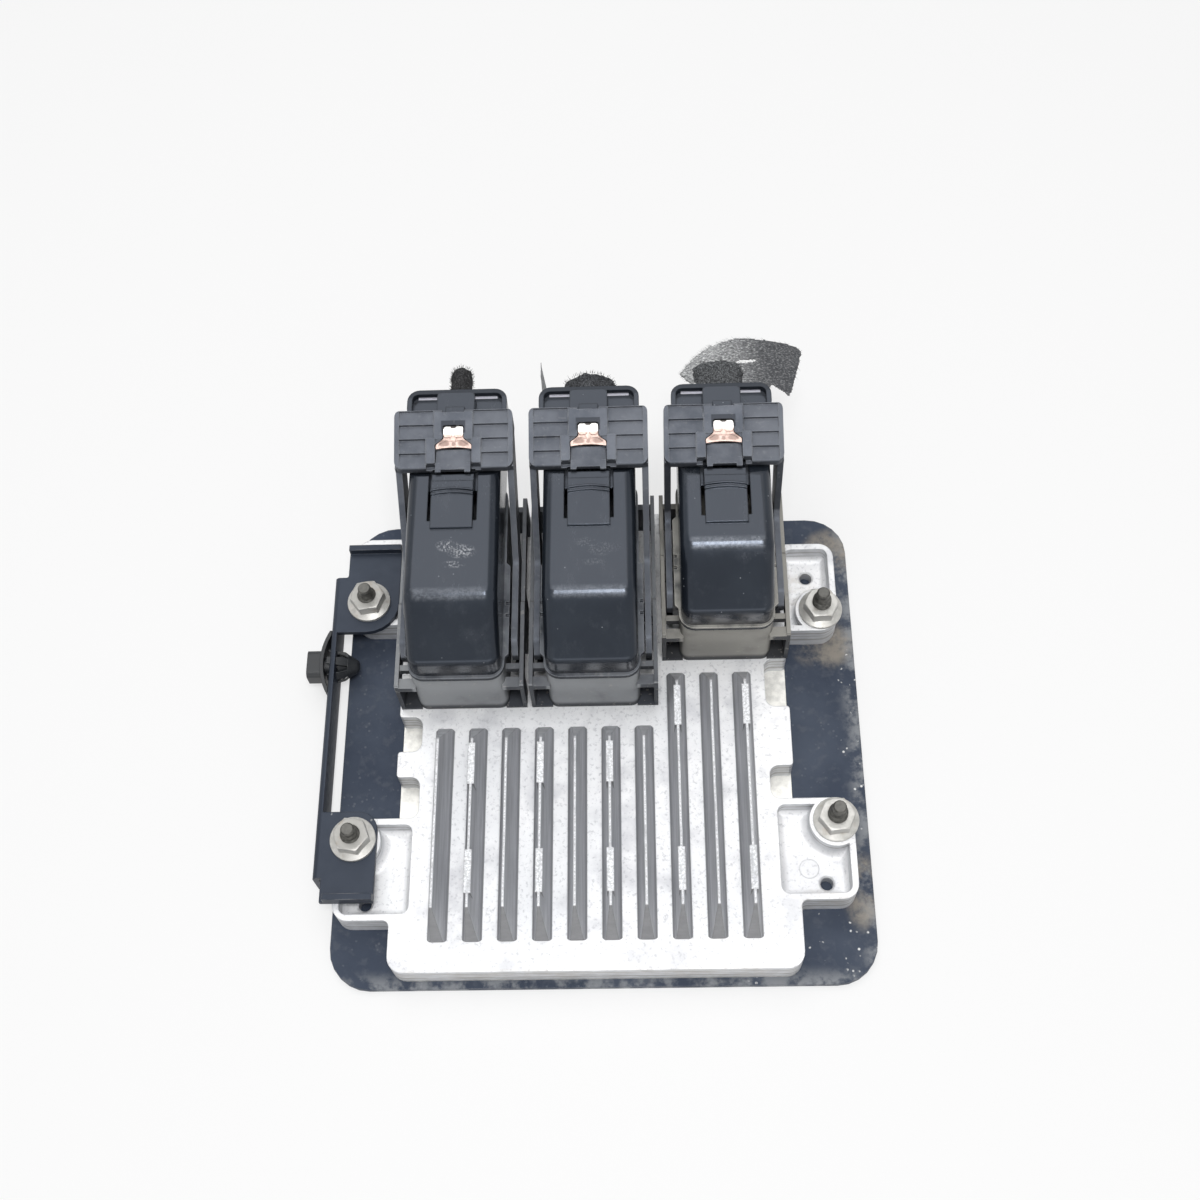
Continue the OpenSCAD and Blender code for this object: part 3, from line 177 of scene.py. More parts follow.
class Material:
    """A Principled material, with the textures and masks that the finishes share.

    Places are in millimetres. soft is the radius by which edges look rounded.
    """

    def __init__(self, name, soft=0.3, **constants):
        self.mat = bpy.data.materials.new(name)
        self.mat.use_nodes = True
        self.tree = self.mat.node_tree
        self.shader = self.tree.nodes["Principled BSDF"]
        self.coords = add_node(self.tree, "ShaderNodeTexCoord", out="Object")
        self.x, self.y, self.z = (self.coords.axis(k) * (1 / MM) for k in range(3))
        facing = add_node(self.tree, "ShaderNodeTexCoord", out="Normal")
        self.up = facing.axis(2)
        self.fore = -facing.axis(1)
        self.soft = add_node(self.tree, "ShaderNodeBevel", {"samples": 6}, {"Radius": soft * MM})
        for key, value in constants.items():
            self.set(key, value)

    def set(self, key, value):
        plug(self.tree, self.shader.inputs[key.replace("_", " ").title().replace("Ior", "IOR")], value)

    def stretched(self, sx, sy, sz):
        return add_node(self.tree, "ShaderNodeMapping", {"vector_type": "TEXTURE"},
                        {"Vector": self.coords, "Scale": (sx, sy, sz)})

    def noise(self, scale, detail=4.0, rough=0.55, at=None):
        """Noise with features about 1 / scale metres across."""
        return add_node(self.tree, "ShaderNodeTexNoise", None,
                        {"Vector": at or self.coords, "Scale": scale, "Detail": detail, "Roughness": rough})

    def cells(self, scale):
        return add_node(self.tree, "ShaderNodeTexVoronoi", {"feature": "F1"},
                        {"Vector": self.coords, "Scale": scale})

    def bump(self, height, distance):
        self.set("normal", add_node(
            self.tree, "ShaderNodeBump", None,
            {"Strength": 1.0, "Distance": distance, "Height": height, "Normal": self.soft}))

    def spot(self, x, y, rx, ry, soft=0.7):
        """1 round a place seen from above, fading to 0 at the radii."""
        dx = (self.x - x) / rx
        dy = (self.y - y) / ry
        return (dx * dx + dy * dy).step(1.0, 1.0 - soft)

    def spots(self, first, *others):
        """1 round any of several places, each given as x, y and two radii."""
        mask = self.spot(*first)
        for place in others:
            mask = mask.max(self.spot(*place))
        return mask

    def flat(self):
        """1 on faces that look straight up."""
        return self.up.step(0.9, 0.985)

    def wall(self):
        """1 on upright faces."""
        return self.up.abs().step(0.5, 0.2)

    def rim(self):
        """1 along edges, where the rounded normal leaves the face's own."""
        own = add_node(self.tree, "ShaderNodeNewGeometry", out="Normal")
        along = add_node(self.tree, "ShaderNodeVectorMath", {"operation": "DOT_PRODUCT"},
                         {0: self.soft, 1: own}, "Value")
        return along.step(0.985, 0.8)


# Finishes

def plain(name, colour, rough, metal=0.0):
    """A single-colour finish with a little grain."""
    m = Material(name, metallic=metal)
    grain = m.noise(400)
    m.set("base_color", grain.step(0.3, 0.7).mix(scaled(colour, 0.85), scaled(colour, 1.15)))
    m.set("roughness", rough - 0.08 + grain * 0.16)
    m.bump(grain, 0.00002)
    return m.mat


def plate_paint():
    """Blue-black paint with wear on its rim, dust in the right corners and spots of white paint."""
    low, high = (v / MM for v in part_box("mounting_plate"))
    dusty = ((74, 33, 12, 11), (80, -50, 7, 16), (78, 66, 10, 12))
    spattered = ((70, -66, 18, 10), (82, 0, 5, 40), (60, -78, 22, 4))
    m = Material("plate_paint", 0.6, specular_ior_level=0.3, specular_tint=COOL)
    wide = m.noise(25, 5)
    fine = m.noise(320, 4)
    base = wide.step(0.35, 0.7).mix((0.03, 0.039, 0.06), (0.06, 0.073, 0.1))
    base = (fine.step(0.5, 0.72) * 0.3).mix(base, (0.12, 0.13, 0.15))
    reach = (m.x - (high.x - 4)).max(low.y + 3.5 - m.y)
    worn = reach.step(-3, 3.5) * m.noise(140, 5, 0.65).step(0.42, 0.62)
    worn = worn.max(m.rim() * m.noise(90, 4).step(0.3, 0.55) * 0.8)
    base = (worn * 0.75).mix(base, (0.3, 0.31, 0.32))
    dust = m.spots(*dusty) * m.noise(110, 6, 0.7).step(0.36, 0.66)
    base = (dust * 0.7).mix(base, (0.36, 0.32, 0.26))
    near = m.spots(*spattered) + 0.12
    specks = m.cells(520).step(0.28, 0.12) * m.noise(240, 2).step(0.52, 0.6) * near.step(0.05, 0.5)
    m.set("base_color", specks.mix(base, (0.75, 0.75, 0.74)))
    m.set("roughness", 0.44 + fine * 0.25)
    m.bump(fine, 0.00003)
    return m.mat


def bracket_paint():
    """Blue-black paint, pale along its top edges, with white specks before the slot."""
    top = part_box("side_bracket")[1].z / MM
    spattered = (-77, -26, 10, 7)
    m = Material("bracket_paint", 0.5, specular_tint=COOL)
    wide = m.noise(30, 5)
    fine = m.noise(380, 4)
    base = wide.step(0.3, 0.7).mix((0.01, 0.0135, 0.022), (0.021, 0.027, 0.039))
    edge = m.rim() * m.noise(120, 4).step(0.34, 0.6) * m.z.step(top - 3, top - 1.5)
    base = (edge * 0.8).mix(base, (0.35, 0.35, 0.35))
    specks = m.cells(600).step(0.3, 0.14) * m.noise(300, 2).step(0.5, 0.58) * m.spot(*spattered)
    m.set("base_color", specks.mix(base, (0.7, 0.7, 0.68)))
    m.set("roughness", 0.38 + fine * 0.2)
    m.bump(fine, 0.00002)
    return m.mat


def cast_aluminium():
    """Pale, stained die-cast faces, brown seam lines and tan dust in the right pockets; painted shade greys
    the fins, walls and a pocket.
    """
    shaded_pocket, rear_pocket, front_ear = (62, -50, 9, 12), (65, 50, 9, 10), (68, -58, 9, 8)
    front_foot = (-76.5, -77.6)
    m = Material("cast_aluminium", 0.55, metallic=0.3)
    wide = m.noise(30, 5)
    fine = m.noise(900, 4, 0.65)
    # Stains in noise all over, plus painted shade greying the front right pocket.
    stain_and_shade = m.noise(75, 5).step(0.46, 0.7).max(m.spot(*shaded_pocket) * 0.7)
    base = wide.step(0.3, 0.7).mix((0.79, 0.8, 0.815), (0.9, 0.9, 0.905))
    base = (stain_and_shade * 0.55).mix(base, (0.5, 0.505, 0.535))
    base = (fine.step(0.53, 0.68) * 0.55).mix(base, (0.46, 0.465, 0.49))
    # Painted shade: upright faces take a darker, streaked grey.
    streaks = m.noise(200, 4, 0.6, m.stretched(1, 4, 0.6)).step(0.3, 0.7)
    flank_shade = streaks.mix((0.56, 0.57, 0.59), (0.7, 0.71, 0.73))
    base = m.up.abs().step(0.75, 0.25).mix(base, flank_shade)
    # Painted shade: the fins take a darker streaked grey, darker still on front-facing ends; painted shadow
    # darkens their feet.
    streaks = m.noise(220, 4, 0.6, m.stretched(1, 5, 0.6)).step(0.3, 0.7)
    fin_shade = streaks.mix((0.41, 0.42, 0.445), (0.56, 0.57, 0.6))
    fin_shade = (m.fore.step(0.25, 0.8) * 0.75).mix(fin_shade, (0.17, 0.17, 0.172))
    fin_shade = (m.z.step(FACE_Z + 1.0, FACE_Z + 0.15) * 0.75).mix(fin_shade, (0.17, 0.17, 0.18))
    base = m.z.step(FACE_Z + 0.01, FACE_Z + 0.06).mix(base, fin_shade)
    ridge = m.z.step(FIN_Z - 0.5, FIN_Z - 0.25) * m.noise(500, 3, 0.6, m.stretched(1, 6, 1)).step(0.3, 0.5)
    base = (ridge * 0.85).mix(base, (0.8, 0.81, 0.83))
    pad = m.flat() * m.z.step(FIN_Z - 0.6, FIN_Z - 0.2) * m.noise(1300, 4, 0.7).step(0.42, 0.58)
    base = (pad * 0.75).mix(base, (0.4, 0.41, 0.42))
    seam = m.z.between(10.2, 10.6, 0.25).max(m.z.between(8.3, 8.6, 0.2) * 0.7)
    seam = seam.max(m.z.between(5.6, 6.4, 0.3) * 0.8) * m.wall() * m.noise(60, 4).step(0.2, 0.5)
    base = (seam * 0.6).mix(base, (0.16, 0.135, 0.105))
    dust = m.spot(*rear_pocket).max(m.spot(*front_ear) * 0.7).max(m.y.step(*front_foot) * 0.6)
    dust = dust * m.noise(160, 6, 0.7).step(0.38, 0.68)
    m.set("base_color", (dust * 0.45).mix(base, (0.42, 0.37, 0.3)))
    m.set("roughness", 0.42 + fine * 0.2)
    m.bump(fine, 0.00007)
    return m.mat


def header_plastic(side):
    """Dusty moulding: pale front box, rail tops paler with dust and edges with painted highlight; painted
    shade at its foot and on the sides of its guard walls.
    """
    tint = (0.46, 0.445, 0.405) if side == "right" else (0.46, 0.475, 0.49)
    m = Material("header_plastic_" + side, 0.4, specular_ior_level=0.3, specular_tint=COOL)
    wide = m.noise(70, 5)
    fine = m.noise(600, 4)
    base = wide.step(0.3, 0.7).mix(scaled(tint, 0.28), scaled(tint, 0.55))
    front = m.fore.step(0.5, 0.9) * m.noise(90, 5).step(0.1, 0.5)
    base = front.mix(base, scaled(tint, 0.72))
    # Painted shade: near-black at the foot and on the sides of the guard walls.
    base = (m.z.step(FACE_Z + 4.5, FACE_Z + 1.5) * 0.9).mix(base, (0.02, 0.021, 0.024))
    inner_shade = (m.x - centre("header_" + side) / MM).abs().step(14.2, 15.2) * m.wall()
    base = (inner_shade * 0.85).mix(base, (0.035, 0.038, 0.045))
    shaded = m.x.between(*SHADED_RAILS, 3)
    base = (shaded * m.flat() * 0.6).mix(base, (0.06, 0.065, 0.078))
    # Tops paler with dust, and edges lighter as painted highlight, most on the right rail.
    light = (1 - shaded * 0.7) * m.flat().max(m.rim()) * m.noise(150, 4).step(0.2, 0.5)
    light = light * m.z.step(FACE_Z + 13, FACE_Z + 16)
    base = (light * (0.5 + m.x.step(48, 54) * 0.4)).mix(base, scaled(tint, 0.75))
    base = (m.rim() * light * 0.6).mix(base, scaled(tint, 1.1))
    grit = fine.step(0.6, 0.74) * 0.35
    m.set("base_color", grit.mix(base, (0.55, 0.52, 0.47)))
    m.set("roughness", 0.5 + fine * 0.2)
    m.bump(fine, 0.00003)
    return m.mat


def flange_plastic(side):
    """The plug's flange: dark, with dust on its ledges and a painted highlight as a pale line along its edge.
    """
    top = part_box("plug_body_" + side)[1].z / MM
    dust = (0.34, 0.33, 0.3) if side == "right" else (0.15, 0.158, 0.172)
    m = Material("flange_plastic_" + side, 0.4, specular_ior_level=0.35, specular_tint=COOL)
    fine = m.noise(500, 4)
    upper = m.z.step(top - 1.2, top - 0.3)
    base = (upper * m.noise(120, 5).step(0.25, 0.6)).mix((0.02, 0.022, 0.026), dust)
    # Painted highlight: a pale line along the flange's edge.
    edge = m.rim() * m.noise(160, 3).step(0.2, 0.45)
    base = (edge * 0.85).mix(base, scaled(dust, 2.4))
    m.set("base_color", (fine.step(0.58, 0.72) * 0.25).mix(base, (0.4, 0.39, 0.37)))
    m.set("roughness", 0.45 + fine * 0.2)
    m.bump(fine, 0.00002)
    return m.mat


def cover_plastic(side):
    """Satin blue-black hood with painted sheen on its tops, white scuffs before the tongue, a crest of wear
    and painted highlight, a dusty front band and a painted highlight in the rear tray.
    """
    x = centre("wire_cover_" + side) / MM
    low, high = (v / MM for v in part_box("wire_cover_" + side))
    crest_y = low.y + CREST_IN
    floor = low.z + TRAY_FLOOR
    scuffed = {"left": 1.0, "middle": 0.2, "right": 0.0}[side]
    # Strength of the crest band, partly wear and partly painted highlight.
    worn = 0.5 if side == "right" else 0.3
    dust = (0.16, 0.155, 0.15) if side == "right" else (0.075, 0.075, 0.078)
    m = Material("cover_plastic_" + side, 0.6, specular_ior_level=0.43, specular_tint=COOL)
    across = (m.x - x).abs()
    wide = m.noise(45, 5)
    fine = m.noise(1000, 3)
    base = wide.step(0.3, 0.7).mix((0.0085, 0.011, 0.0155), (0.0145, 0.0185, 0.0245))
    haze = m.noise(140, 6, 0.7, m.stretched(1, 2.5, 1)).step(0.5, 0.75) * m.up.step(0.5, 0.9)
    # Painted sheen: flat tops a little lighter.
    base = (m.up.step(0.9, 0.99) * 0.6).mix(base, (0.05, 0.053, 0.06))
    base = (haze * 0.35).mix(base, (0.075, 0.08, 0.09))
    patch = m.spots((x - 1, low.y + 33, 4, 2.5, 1.0), (x + 3.5, low.y + 31, 5, 3, 1.0))
    patch = patch.max(m.spot(x + 1, low.y + 26.5, 4.5, 1.5, 1.0) * 0.8) * m.flat() * scuffed
    rubbed = m.noise(1500, 3, 0.7).step(0.46, 0.58) * m.noise(330, 5, 0.75).step(0.4, 0.56) * patch
    base = (rubbed * 0.8).mix(base, (0.5, 0.51, 0.53))
    # The crest band: specks of wear and a painted highlight.
    crest = m.y.between(crest_y + 0.4, crest_y + 2.0, 1.6) * across.step(12, 10) * m.up.step(0.6, 0.85)
    crest = crest * (0.4 + m.noise(900, 4, 0.7).step(0.4, 0.62) * 0.6)
    base = (crest * worn).mix(base, (0.3, 0.315, 0.345))
    nicks = m.cells(380).step(0.1, 0.05) * m.noise(90, 3).step(0.55, 0.62)
    base = (nicks * 0.5).mix(base, (0.4, 0.42, 0.45))
    band = m.z.step(low.z + 9, low.z + 4) * m.y.step(low.y + 6, low.y + 2) * m.noise(170, 4).step(0.3, 0.6)
    base = (band * 0.6).mix(base, dust)
    # Painted highlight: a pale line along the inner edge of the rear tray.
    tray_highlight = across.between(5.4, 12.6, 0.3) * (high.y - m.y).between(1.2, 2.1, 0.2)
    tray_highlight = tray_highlight * m.z.between(floor, floor + 0.5, 0.2)
    m.set("base_color", (tray_highlight * 0.9).mix(base, (0.75, 0.75, 0.82)))
    rear = m.y.step(high.y - 3.2, high.y - 2.8)
    m.set("roughness", 0.17 + haze * 0.14 + rubbed * 0.3 + fine * 0.08 + rear * 0.45)
    m.bump(fine, 0.000012)
    return m.mat


def lever_plastic(side):
    """Mottled grey moulding, lighter on its right panel, with painted highlights along its edges and painted
    shade on its walls and round the lock clip.
    """
    x = centre("lever_" + side) / MM
    seat_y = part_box("lock_clip_" + side)[1].y / MM
    m = Material("lever_plastic_" + side, 0.4, specular_tint=COOL)
    wide = m.noise(110, 5, 0.6)
    fine = m.noise(700, 4)
    base = wide.step(0.3, 0.7).mix((0.066, 0.072, 0.085), (0.13, 0.138, 0.157))
    base = ((m.x - x).step(5, 9) * 0.3).mix(base, (0.16, 0.168, 0.185))
    # Painted highlight: lighter streaks along the edges.
    edge = m.rim() * m.noise(200, 3).step(0.3, 0.55)
    base = (edge * 0.75).mix(base, (0.38, 0.395, 0.425))
    # Painted shade: upright walls near-black.
    base = (m.wall() * 0.7).mix(base, (0.022, 0.024, 0.028))
    # Painted shade: near-black round the lock clip.
    seat_shade = (m.x - x).abs().step(4.0, 3.6) * m.y.between(seat_y - 3.0, seat_y + 0.7, 0.15)
    base = (seat_shade * 0.92).mix(base, (0.008, 0.007, 0.007))
    m.set("base_color", (fine.step(0.58, 0.72) * 0.3).mix(base, (0.24, 0.24, 0.25)))
    m.set("roughness", 0.42 + fine * 0.15)
    m.bump(fine, 0.00002)
    return m.mat


def copper_clip(side):
    """Copper-coloured spring steel: painted highlights whiten two lobes and the edges; painted shade darkens
    hollows round a dome and a notch.
    """
    x = centre("lock_clip_" + side) / MM
    low, high = (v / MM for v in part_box("lock_clip_" + side))
    hollow_shade = ((x - 3, low.y + 1.9, 2.1, 1.1), (x + 3, low.y + 1.9, 2.1, 1.1), (x, low.y + 1.5, 0.8, 0.8))
    m = Material("copper_clip_" + side, 0.15, metallic=0.5)
    fine = m.noise(900, 4)
    across = (m.x - x).abs()
    base = fine.step(0.3, 0.7).mix((0.5, 0.36, 0.31), (0.7, 0.54, 0.48))
    # Painted shade: dark spots in the fan's hollows and at its dome.
    base = (m.spots(*hollow_shade) * 0.75).mix(base, (0.2, 0.13, 0.11))
    # Painted highlight: pale edges.
    base = (m.rim() * 0.7).mix(base, (0.9, 0.74, 0.68))
    # Painted highlight: the two lobes and their roots near-white.
    root = across.step(3.4, 3.1) * m.y.step(high.y - 3.6, high.y - 3.2)
    lobe_highlight = m.z.step(high.z - 0.35, high.z - 0.1).max(root)
    base = lobe_highlight.mix(base, (0.93, 0.91, 0.89))
    # Painted shade: near-black in the gap between the lobes.
    notch_shade = across.step(1.1, 0.8) * m.y.step(high.y - 1.3, high.y - 1.0)
    m.set("base_color", (notch_shade * 0.95).mix(base, (0.03, 0.02, 0.018)))
    m.set("roughness", 0.36 + fine * 0.15)
    m.bump(fine, 0.00001)
    return m.mat


def zinc_steel():
    """Dull zinc, darker on the nuts' tops, with a little rust."""
    m = Material("zinc_steel", 0.25, metallic=0.45)
    fine = m.noise(500, 4)
    base = fine.step(0.3, 0.7).mix((0.44, 0.435, 0.41), (0.56, 0.55, 0.525))
    base = (m.flat() * m.z.step(NUT_Z - 0.6, NUT_Z - 0.2) * 0.7).mix(base, (0.26, 0.255, 0.24))
    base = (m.wall() * 0.75).mix(base, (0.5, 0.495, 0.48))
    rust = m.noise(260, 5).step(0.56, 0.7) * 0.3
    m.set("base_color", rust.mix(base, (0.3, 0.23, 0.16)))
    m.set("roughness", 0.36 + fine * 0.15)
    m.bump(fine, 0.00002)
    return m.mat


def stud_steel():
    """Dull brown-grey steel, with painted light making faces that look up a little lighter."""
    m = Material("dark_steel", metallic=0.5)
    fine = m.noise(800, 4)
    base = fine.step(0.3, 0.7).mix((0.05, 0.049, 0.045), (0.13, 0.127, 0.115))
    # Painted light: faces that look up a little lighter.
    m.set("base_color", (m.flat() * 0.5).mix(base, (0.15, 0.147, 0.137)))
    m.set("roughness", 0.45 + fine * 0.15)
    return m.mat


def frayed(name, dark, light):
    """Short-haired cloth with light specks."""
    m = Material(name, specular_ior_level=0.15)
    fine = m.noise(1500, 3, 0.7)
    specks = m.noise(2600, 2).step(0.56, 0.68)
    base = fine.step(0.35, 0.65).mix(dark, light)
    m.set("base_color", (specks * 0.5).mix(base, scaled(light, 3)))
    m.set("roughness", 0.85 + fine * 0.1)
    m.bump(fine, 0.0002)
    return m.mat


def tape_fabric():
    """Woven tape: pale and speckled at its left edge, dark grey to the right."""
    low, high = (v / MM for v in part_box("tape_flap"))
    m = Material("tape_fabric", specular_ior_level=0.15)
    weave = m.noise(1900, 2, 0.6, m.stretched(1.6, 0.7, 1))
    wide = m.noise(160, 5)
    right = m.x.step(low.x + 8, high.x - 10)
    base = right.mix((0.36, 0.365, 0.37), (0.085, 0.088, 0.095))
    base = (wide.step(0.4, 0.65) * 0.45).mix(base, (0.16, 0.163, 0.17))
    base = (weave.step(0.53, 0.64) * (0.95 - right * 0.7)).mix(base, (0.72, 0.73, 0.73))
    m.set("base_color", (weave.step(0.44, 0.34) * 0.7).mix(base, (0.05, 0.05, 0.052)))
    m.set("roughness", 0.85 + weave * 0.1)
    m.bump(weave, 0.00025)
    return m.mat


FINISH = {
    "mounting_plate": plate_paint(),
    "side_bracket": bracket_paint(),
    "case_casting": cast_aluminium(),
    "mounting_studs": stud_steel(),
    "tape_flap": tape_fabric(),
    "harness_stub_middle": frayed("fabric_middle", (0.02, 0.021, 0.024), (0.09, 0.093, 0.1)),
    "harness_stub_right": frayed("fabric_right", (0.03, 0.031, 0.034), (0.13, 0.135, 0.14)),
}
for s in SIDES:
    FINISH["header_" + s] = header_plastic(s)
    FINISH["wire_cover_" + s] = cover_plastic(s)
    FINISH["lever_" + s] = lever_plastic(s)
    FINISH["plug_body_" + s] = flange_plastic(s)
    FINISH["lock_clip_" + s] = copper_clip(s)
SLOT_FINISH = {
    "zinc_steel": zinc_steel(),
    "black_plastic": plain("black_plastic", (0.016, 0.018, 0.021), 0.45),
    "sheet_aluminium": plain("sheet_aluminium", (0.75, 0.74, 0.7), 0.4, 0.5),
    "sealant": plain("sealant", (0.05, 0.055, 0.05), 0.6),
    "board": plain("board", (0.02, 0.12, 0.05), 0.45),
    "chip_plastic": plain("chip_plastic", (0.02, 0.02, 0.022), 0.5),
    "contact_brass": plain("contact_brass", (0.7, 0.5, 0.2), 0.3, 1.0),
    "seal_rubber": plain("seal_rubber", (0.25, 0.08, 0.04), 0.6),
    "harness_fabric": frayed("harness_fabric", (0.014, 0.014, 0.015), (0.06, 0.06, 0.062)),
}
FIBRE_PALE = plain("fibre_pale", (0.45, 0.46, 0.46), 0.8)
FIBRE_DARK = plain("fibre_dark", (0.05, 0.05, 0.052), 0.8)
FIBRE_STRAND = plain("fibre_strand", (0.2, 0.205, 0.21), 0.8)


def finish_of(node):
    return FINISH.get(node) or SLOT_FINISH[SLOT[node]]


# Geometry helpers

def link(name, mesh, node, material=None):
    """A new piece that rides with a CAD node's body and takes its finish."""
    obj = bpy.data.objects.new(name, mesh)
    bpy.context.scene.collection.objects.link(obj)
    mesh.materials.clear()
    mesh.materials.append(material or finish_of(node))
    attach(obj, BODY[node])
    return obj


def to_mesh(bm, name, angle=35):
    """The finished mesh, smooth but for edges sharper than the angle."""
    bmesh.ops.recalc_face_normals(bm, faces=bm.faces)
    mesh = bpy.data.meshes.new(name)
    bm.to_mesh(mesh)
    bm.free()
    mesh.shade_smooth()
    mesh.set_sharp_from_angle(angle=math.radians(angle))
    return mesh


def even_normals(bm, limit=35, flush=0.99999):
    """One normal per corner: faces within the limit, averaged by the size of the flats they belong to."""
    flat_of, sizes = {}, []
    for face in bm.faces:
        if face in flat_of:
            continue
        flat_of[face] = len(sizes)
        queue, size = [face], 0.0
        while queue:
            f = queue.pop()
            size += f.calc_area()
            for edge in f.edges:
                for g in edge.link_faces:
                    if g not in flat_of and g.normal.dot(face.normal) > flush:
                        flat_of[g] = len(sizes)
                        queue.append(g)
        sizes.append(size)
    near = math.cos(math.radians(limit))
    normals = []
    for face in bm.faces:
        for v in face.verts:
            parts = {flat_of[g]: g.normal for g in v.link_faces if g.normal.dot(face.normal) > near}
            total = sum((n * sizes[k] for k, n in parts.items()), Vector())
            normals.append((total or face.normal).normalized())
    return normals


def dress(node, shape=None):
    """A copy of a CAD node that is shown in its place. Its normals keep flat faces flat beside fillets."""
    weld = 2e-6
    bm = bmesh.new()
    bm.from_mesh(frame["nodes"][node].data)
    bmesh.ops.remove_doubles(bm, verts=bm.verts, dist=weld)
    if shape:
        shape(bm, node)
    bm.normal_update()
    normals = even_normals(bm)
    mesh = bpy.data.meshes.new(node + "_seen")
    bm.to_mesh(mesh)
    bm.free()
    mesh.shade_smooth()
    mesh.normals_split_custom_set(normals)
    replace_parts(link(node + "_seen", mesh, node), node)


def round_crest(bm, node):
    """Widens the rounding between a hood's top and its front slope."""
    crest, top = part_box(node)[0].y + CREST_IN * MM, HOOD_TOP * MM
    slope, r = math.tan(CREST_TURN), CREST_R * MM
    half, cuts = 5.0 * MM, 14
    skin, fade = 6 * MM, 5 * MM
    middle = crest + r * math.tan(CREST_TURN / 2)

    def made(y):
        """Height of the CAD hood."""
        if y >= middle:
            return top
        if y > middle - r * math.sin(CREST_TURN):
            return top - r + math.sqrt(r * r - (y - middle) ** 2)
        return top - (crest - y) * slope

    for k in range(cuts + 1):
        y = crest - half + 2 * half * k / cuts
        bmesh.ops.bisect_plane(bm, geom=bm.verts[:] + bm.edges[:] + bm.faces[:], plane_co=(0, y, 0),
                               plane_no=(0, 1, 0))
    for v in bm.verts:
        if abs(v.co.y - crest) < half:
            level = made(v.co.y)
            drop = level - top + slope * (crest + half - v.co.y) ** 2 / (4 * half)
            share = min(1.0, max(0.0, (v.co.z - level + skin) / fade))
            v.co.z -= max(0.0, drop) * share


def ring(bm, place, side, up, r, angles):
    """Corners at the given angles round a place."""
    return [bm.verts.new(place + (side * math.cos(a) + up * math.sin(a)) * r) for a in angles]


def join(bm, rings, closed=True):
    """Faces between rings of corners, over the last ring and, where closed, over the first."""
    for one, two in zip(rings, rings[1:]):
        for k in range(len(one)):
            j = (k + 1) % len(one)
            bm.faces.new((one[k], one[j], two[j], two[k]))
    if closed:
        bm.faces.new(rings[0][::-1])
    bm.faces.new(rings[-1])


def lathe(bm, profile, place, axis, turns=32, wobble=None):
    """Turns (radius, height) pairs round an axis through a place. wobble moves each point a little."""
    side = axis.orthogonal().normalized()
    up = axis.cross(side)
    angles = [2 * math.pi * k / turns for k in range(turns)]
    rings = []
    for r, h in profile:
        rings.append(ring(bm, place + axis * h, side, up, r, angles))
        if wobble:
            for v in rings[-1]:
                v.co = wobble(v.co, h)
    join(bm, rings)


def tube(bm, points, r0, r1, turns):
    """A round tube along points, tapering from r0 to r1."""
    angles = [2 * math.pi * k / turns for k in range(turns)]
    rings = []
    for k, p in enumerate(points):
        way = (points[min(k + 1, len(points) - 1)] - points[max(k - 1, 0)]).normalized()
        side = way.orthogonal().normalized()
        rings.append(ring(bm, p, side, way.cross(side), r0 + (r1 - r0) * k / (len(points) - 1), angles))
    join(bm, rings)


def hair(bm, root, way, length, thick, rng):
    """One bent fibre of three-sided section that tapers to its tip."""
    corners, stray, early = (0.0, 2.1, 4.2), 0.5, 0.3
    sway = Vector((rng.uniform(-1, 1), rng.uniform(-1, 1), rng.uniform(-1, 1))) * stray
    bend = root + (way + early * sway).normalized() * length * 0.5
    tip = bend + (way + sway).normalized() * length * 0.5
    side = way.orthogonal().normalized()
    up = way.cross(side).normalized()
    taper = ((root, 1.0), (bend, 0.8), (tip, 0.3))
    join(bm, [ring(bm, p, side, up, r * thick, corners) for p, r in taper], closed=False)


def rough(p, scale, depth):
    """Noise of a given depth, in metres, with lumps of about 1 / scale metres."""
    return noise.noise(p * scale) * depth


# Pieces that are more than a copy of their CAD node

def studs():
    """Threaded studs with plain dog points."""
    verts = [v.co for v in frame["nodes"]["mounting_studs"].data.vertices]
    nut_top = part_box("flange_nuts")[1].z
    low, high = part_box("mounting_studs")
    pitch, depth, dog_len, dog_r = 1.0 * MM, 0.5 * MM, 3.0 * MM, 2.1 * MM
    neck_r, neck_h, chamfer = 0.2 * MM, 0.3 * MM, 0.4 * MM
    thread = ((0, 0), (0, 0.12), (depth, 0.5), (depth, 0.62))
    bm = bmesh.new()
    for sx in (-1, 1):
        for sy in (-1, 1):
            own = [v for v in verts if v.x * sx > 0 and v.y * sy > 0]
            x = (min(v.x for v in own) + max(v.x for v in own)) / 2
            y = (min(v.y for v in own) + max(v.y for v in own)) / 2
            place = Vector((x, y, 0))
            reach = [((v - place).to_2d().length, v.z) for v in own]
            head_r = max(r for r, z in reach)
            head_t = max(z for r, z in reach if r > 0.95 * head_r)
            r = max(r for r, z in reach if z > nut_top)
            profile = [(POLE, low.z), (head_r, low.z), (head_r, head_t), (r, head_t)]
            z = nut_top - 2 * pitch
            while z < high.z - dog_len - pitch:
                profile += [(r - cut, z + rise * pitch) for cut, rise in thread]
                z += pitch
            profile += [(dog_r + neck_r, high.z - dog_len), (dog_r, high.z - dog_len + neck_h)]
            profile += [(dog_r, high.z - chamfer), (dog_r - chamfer, high.z), (POLE, high.z)]
            lathe(bm, profile, place, Vector((0, 0, 1)))
    obj = link("studs_seen", to_mesh(bm, "studs_seen", 30), "mounting_studs")
    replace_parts(obj, "mounting_studs")


# For each cut harness end: its spread in x, the length of its tip in radii, how ragged the tip is, how far it
# stands past the CAD end of the right one (None for its own CAD end) and its number of fibres
STUBS = {
    "left": (1.0, 0.95, 0.5, None, 420),
    "middle": (1.35, 0.5, 2.2, 0.0, 380),
    "right": (1.4, 0.25, 0.3, 2.8, 120),
}


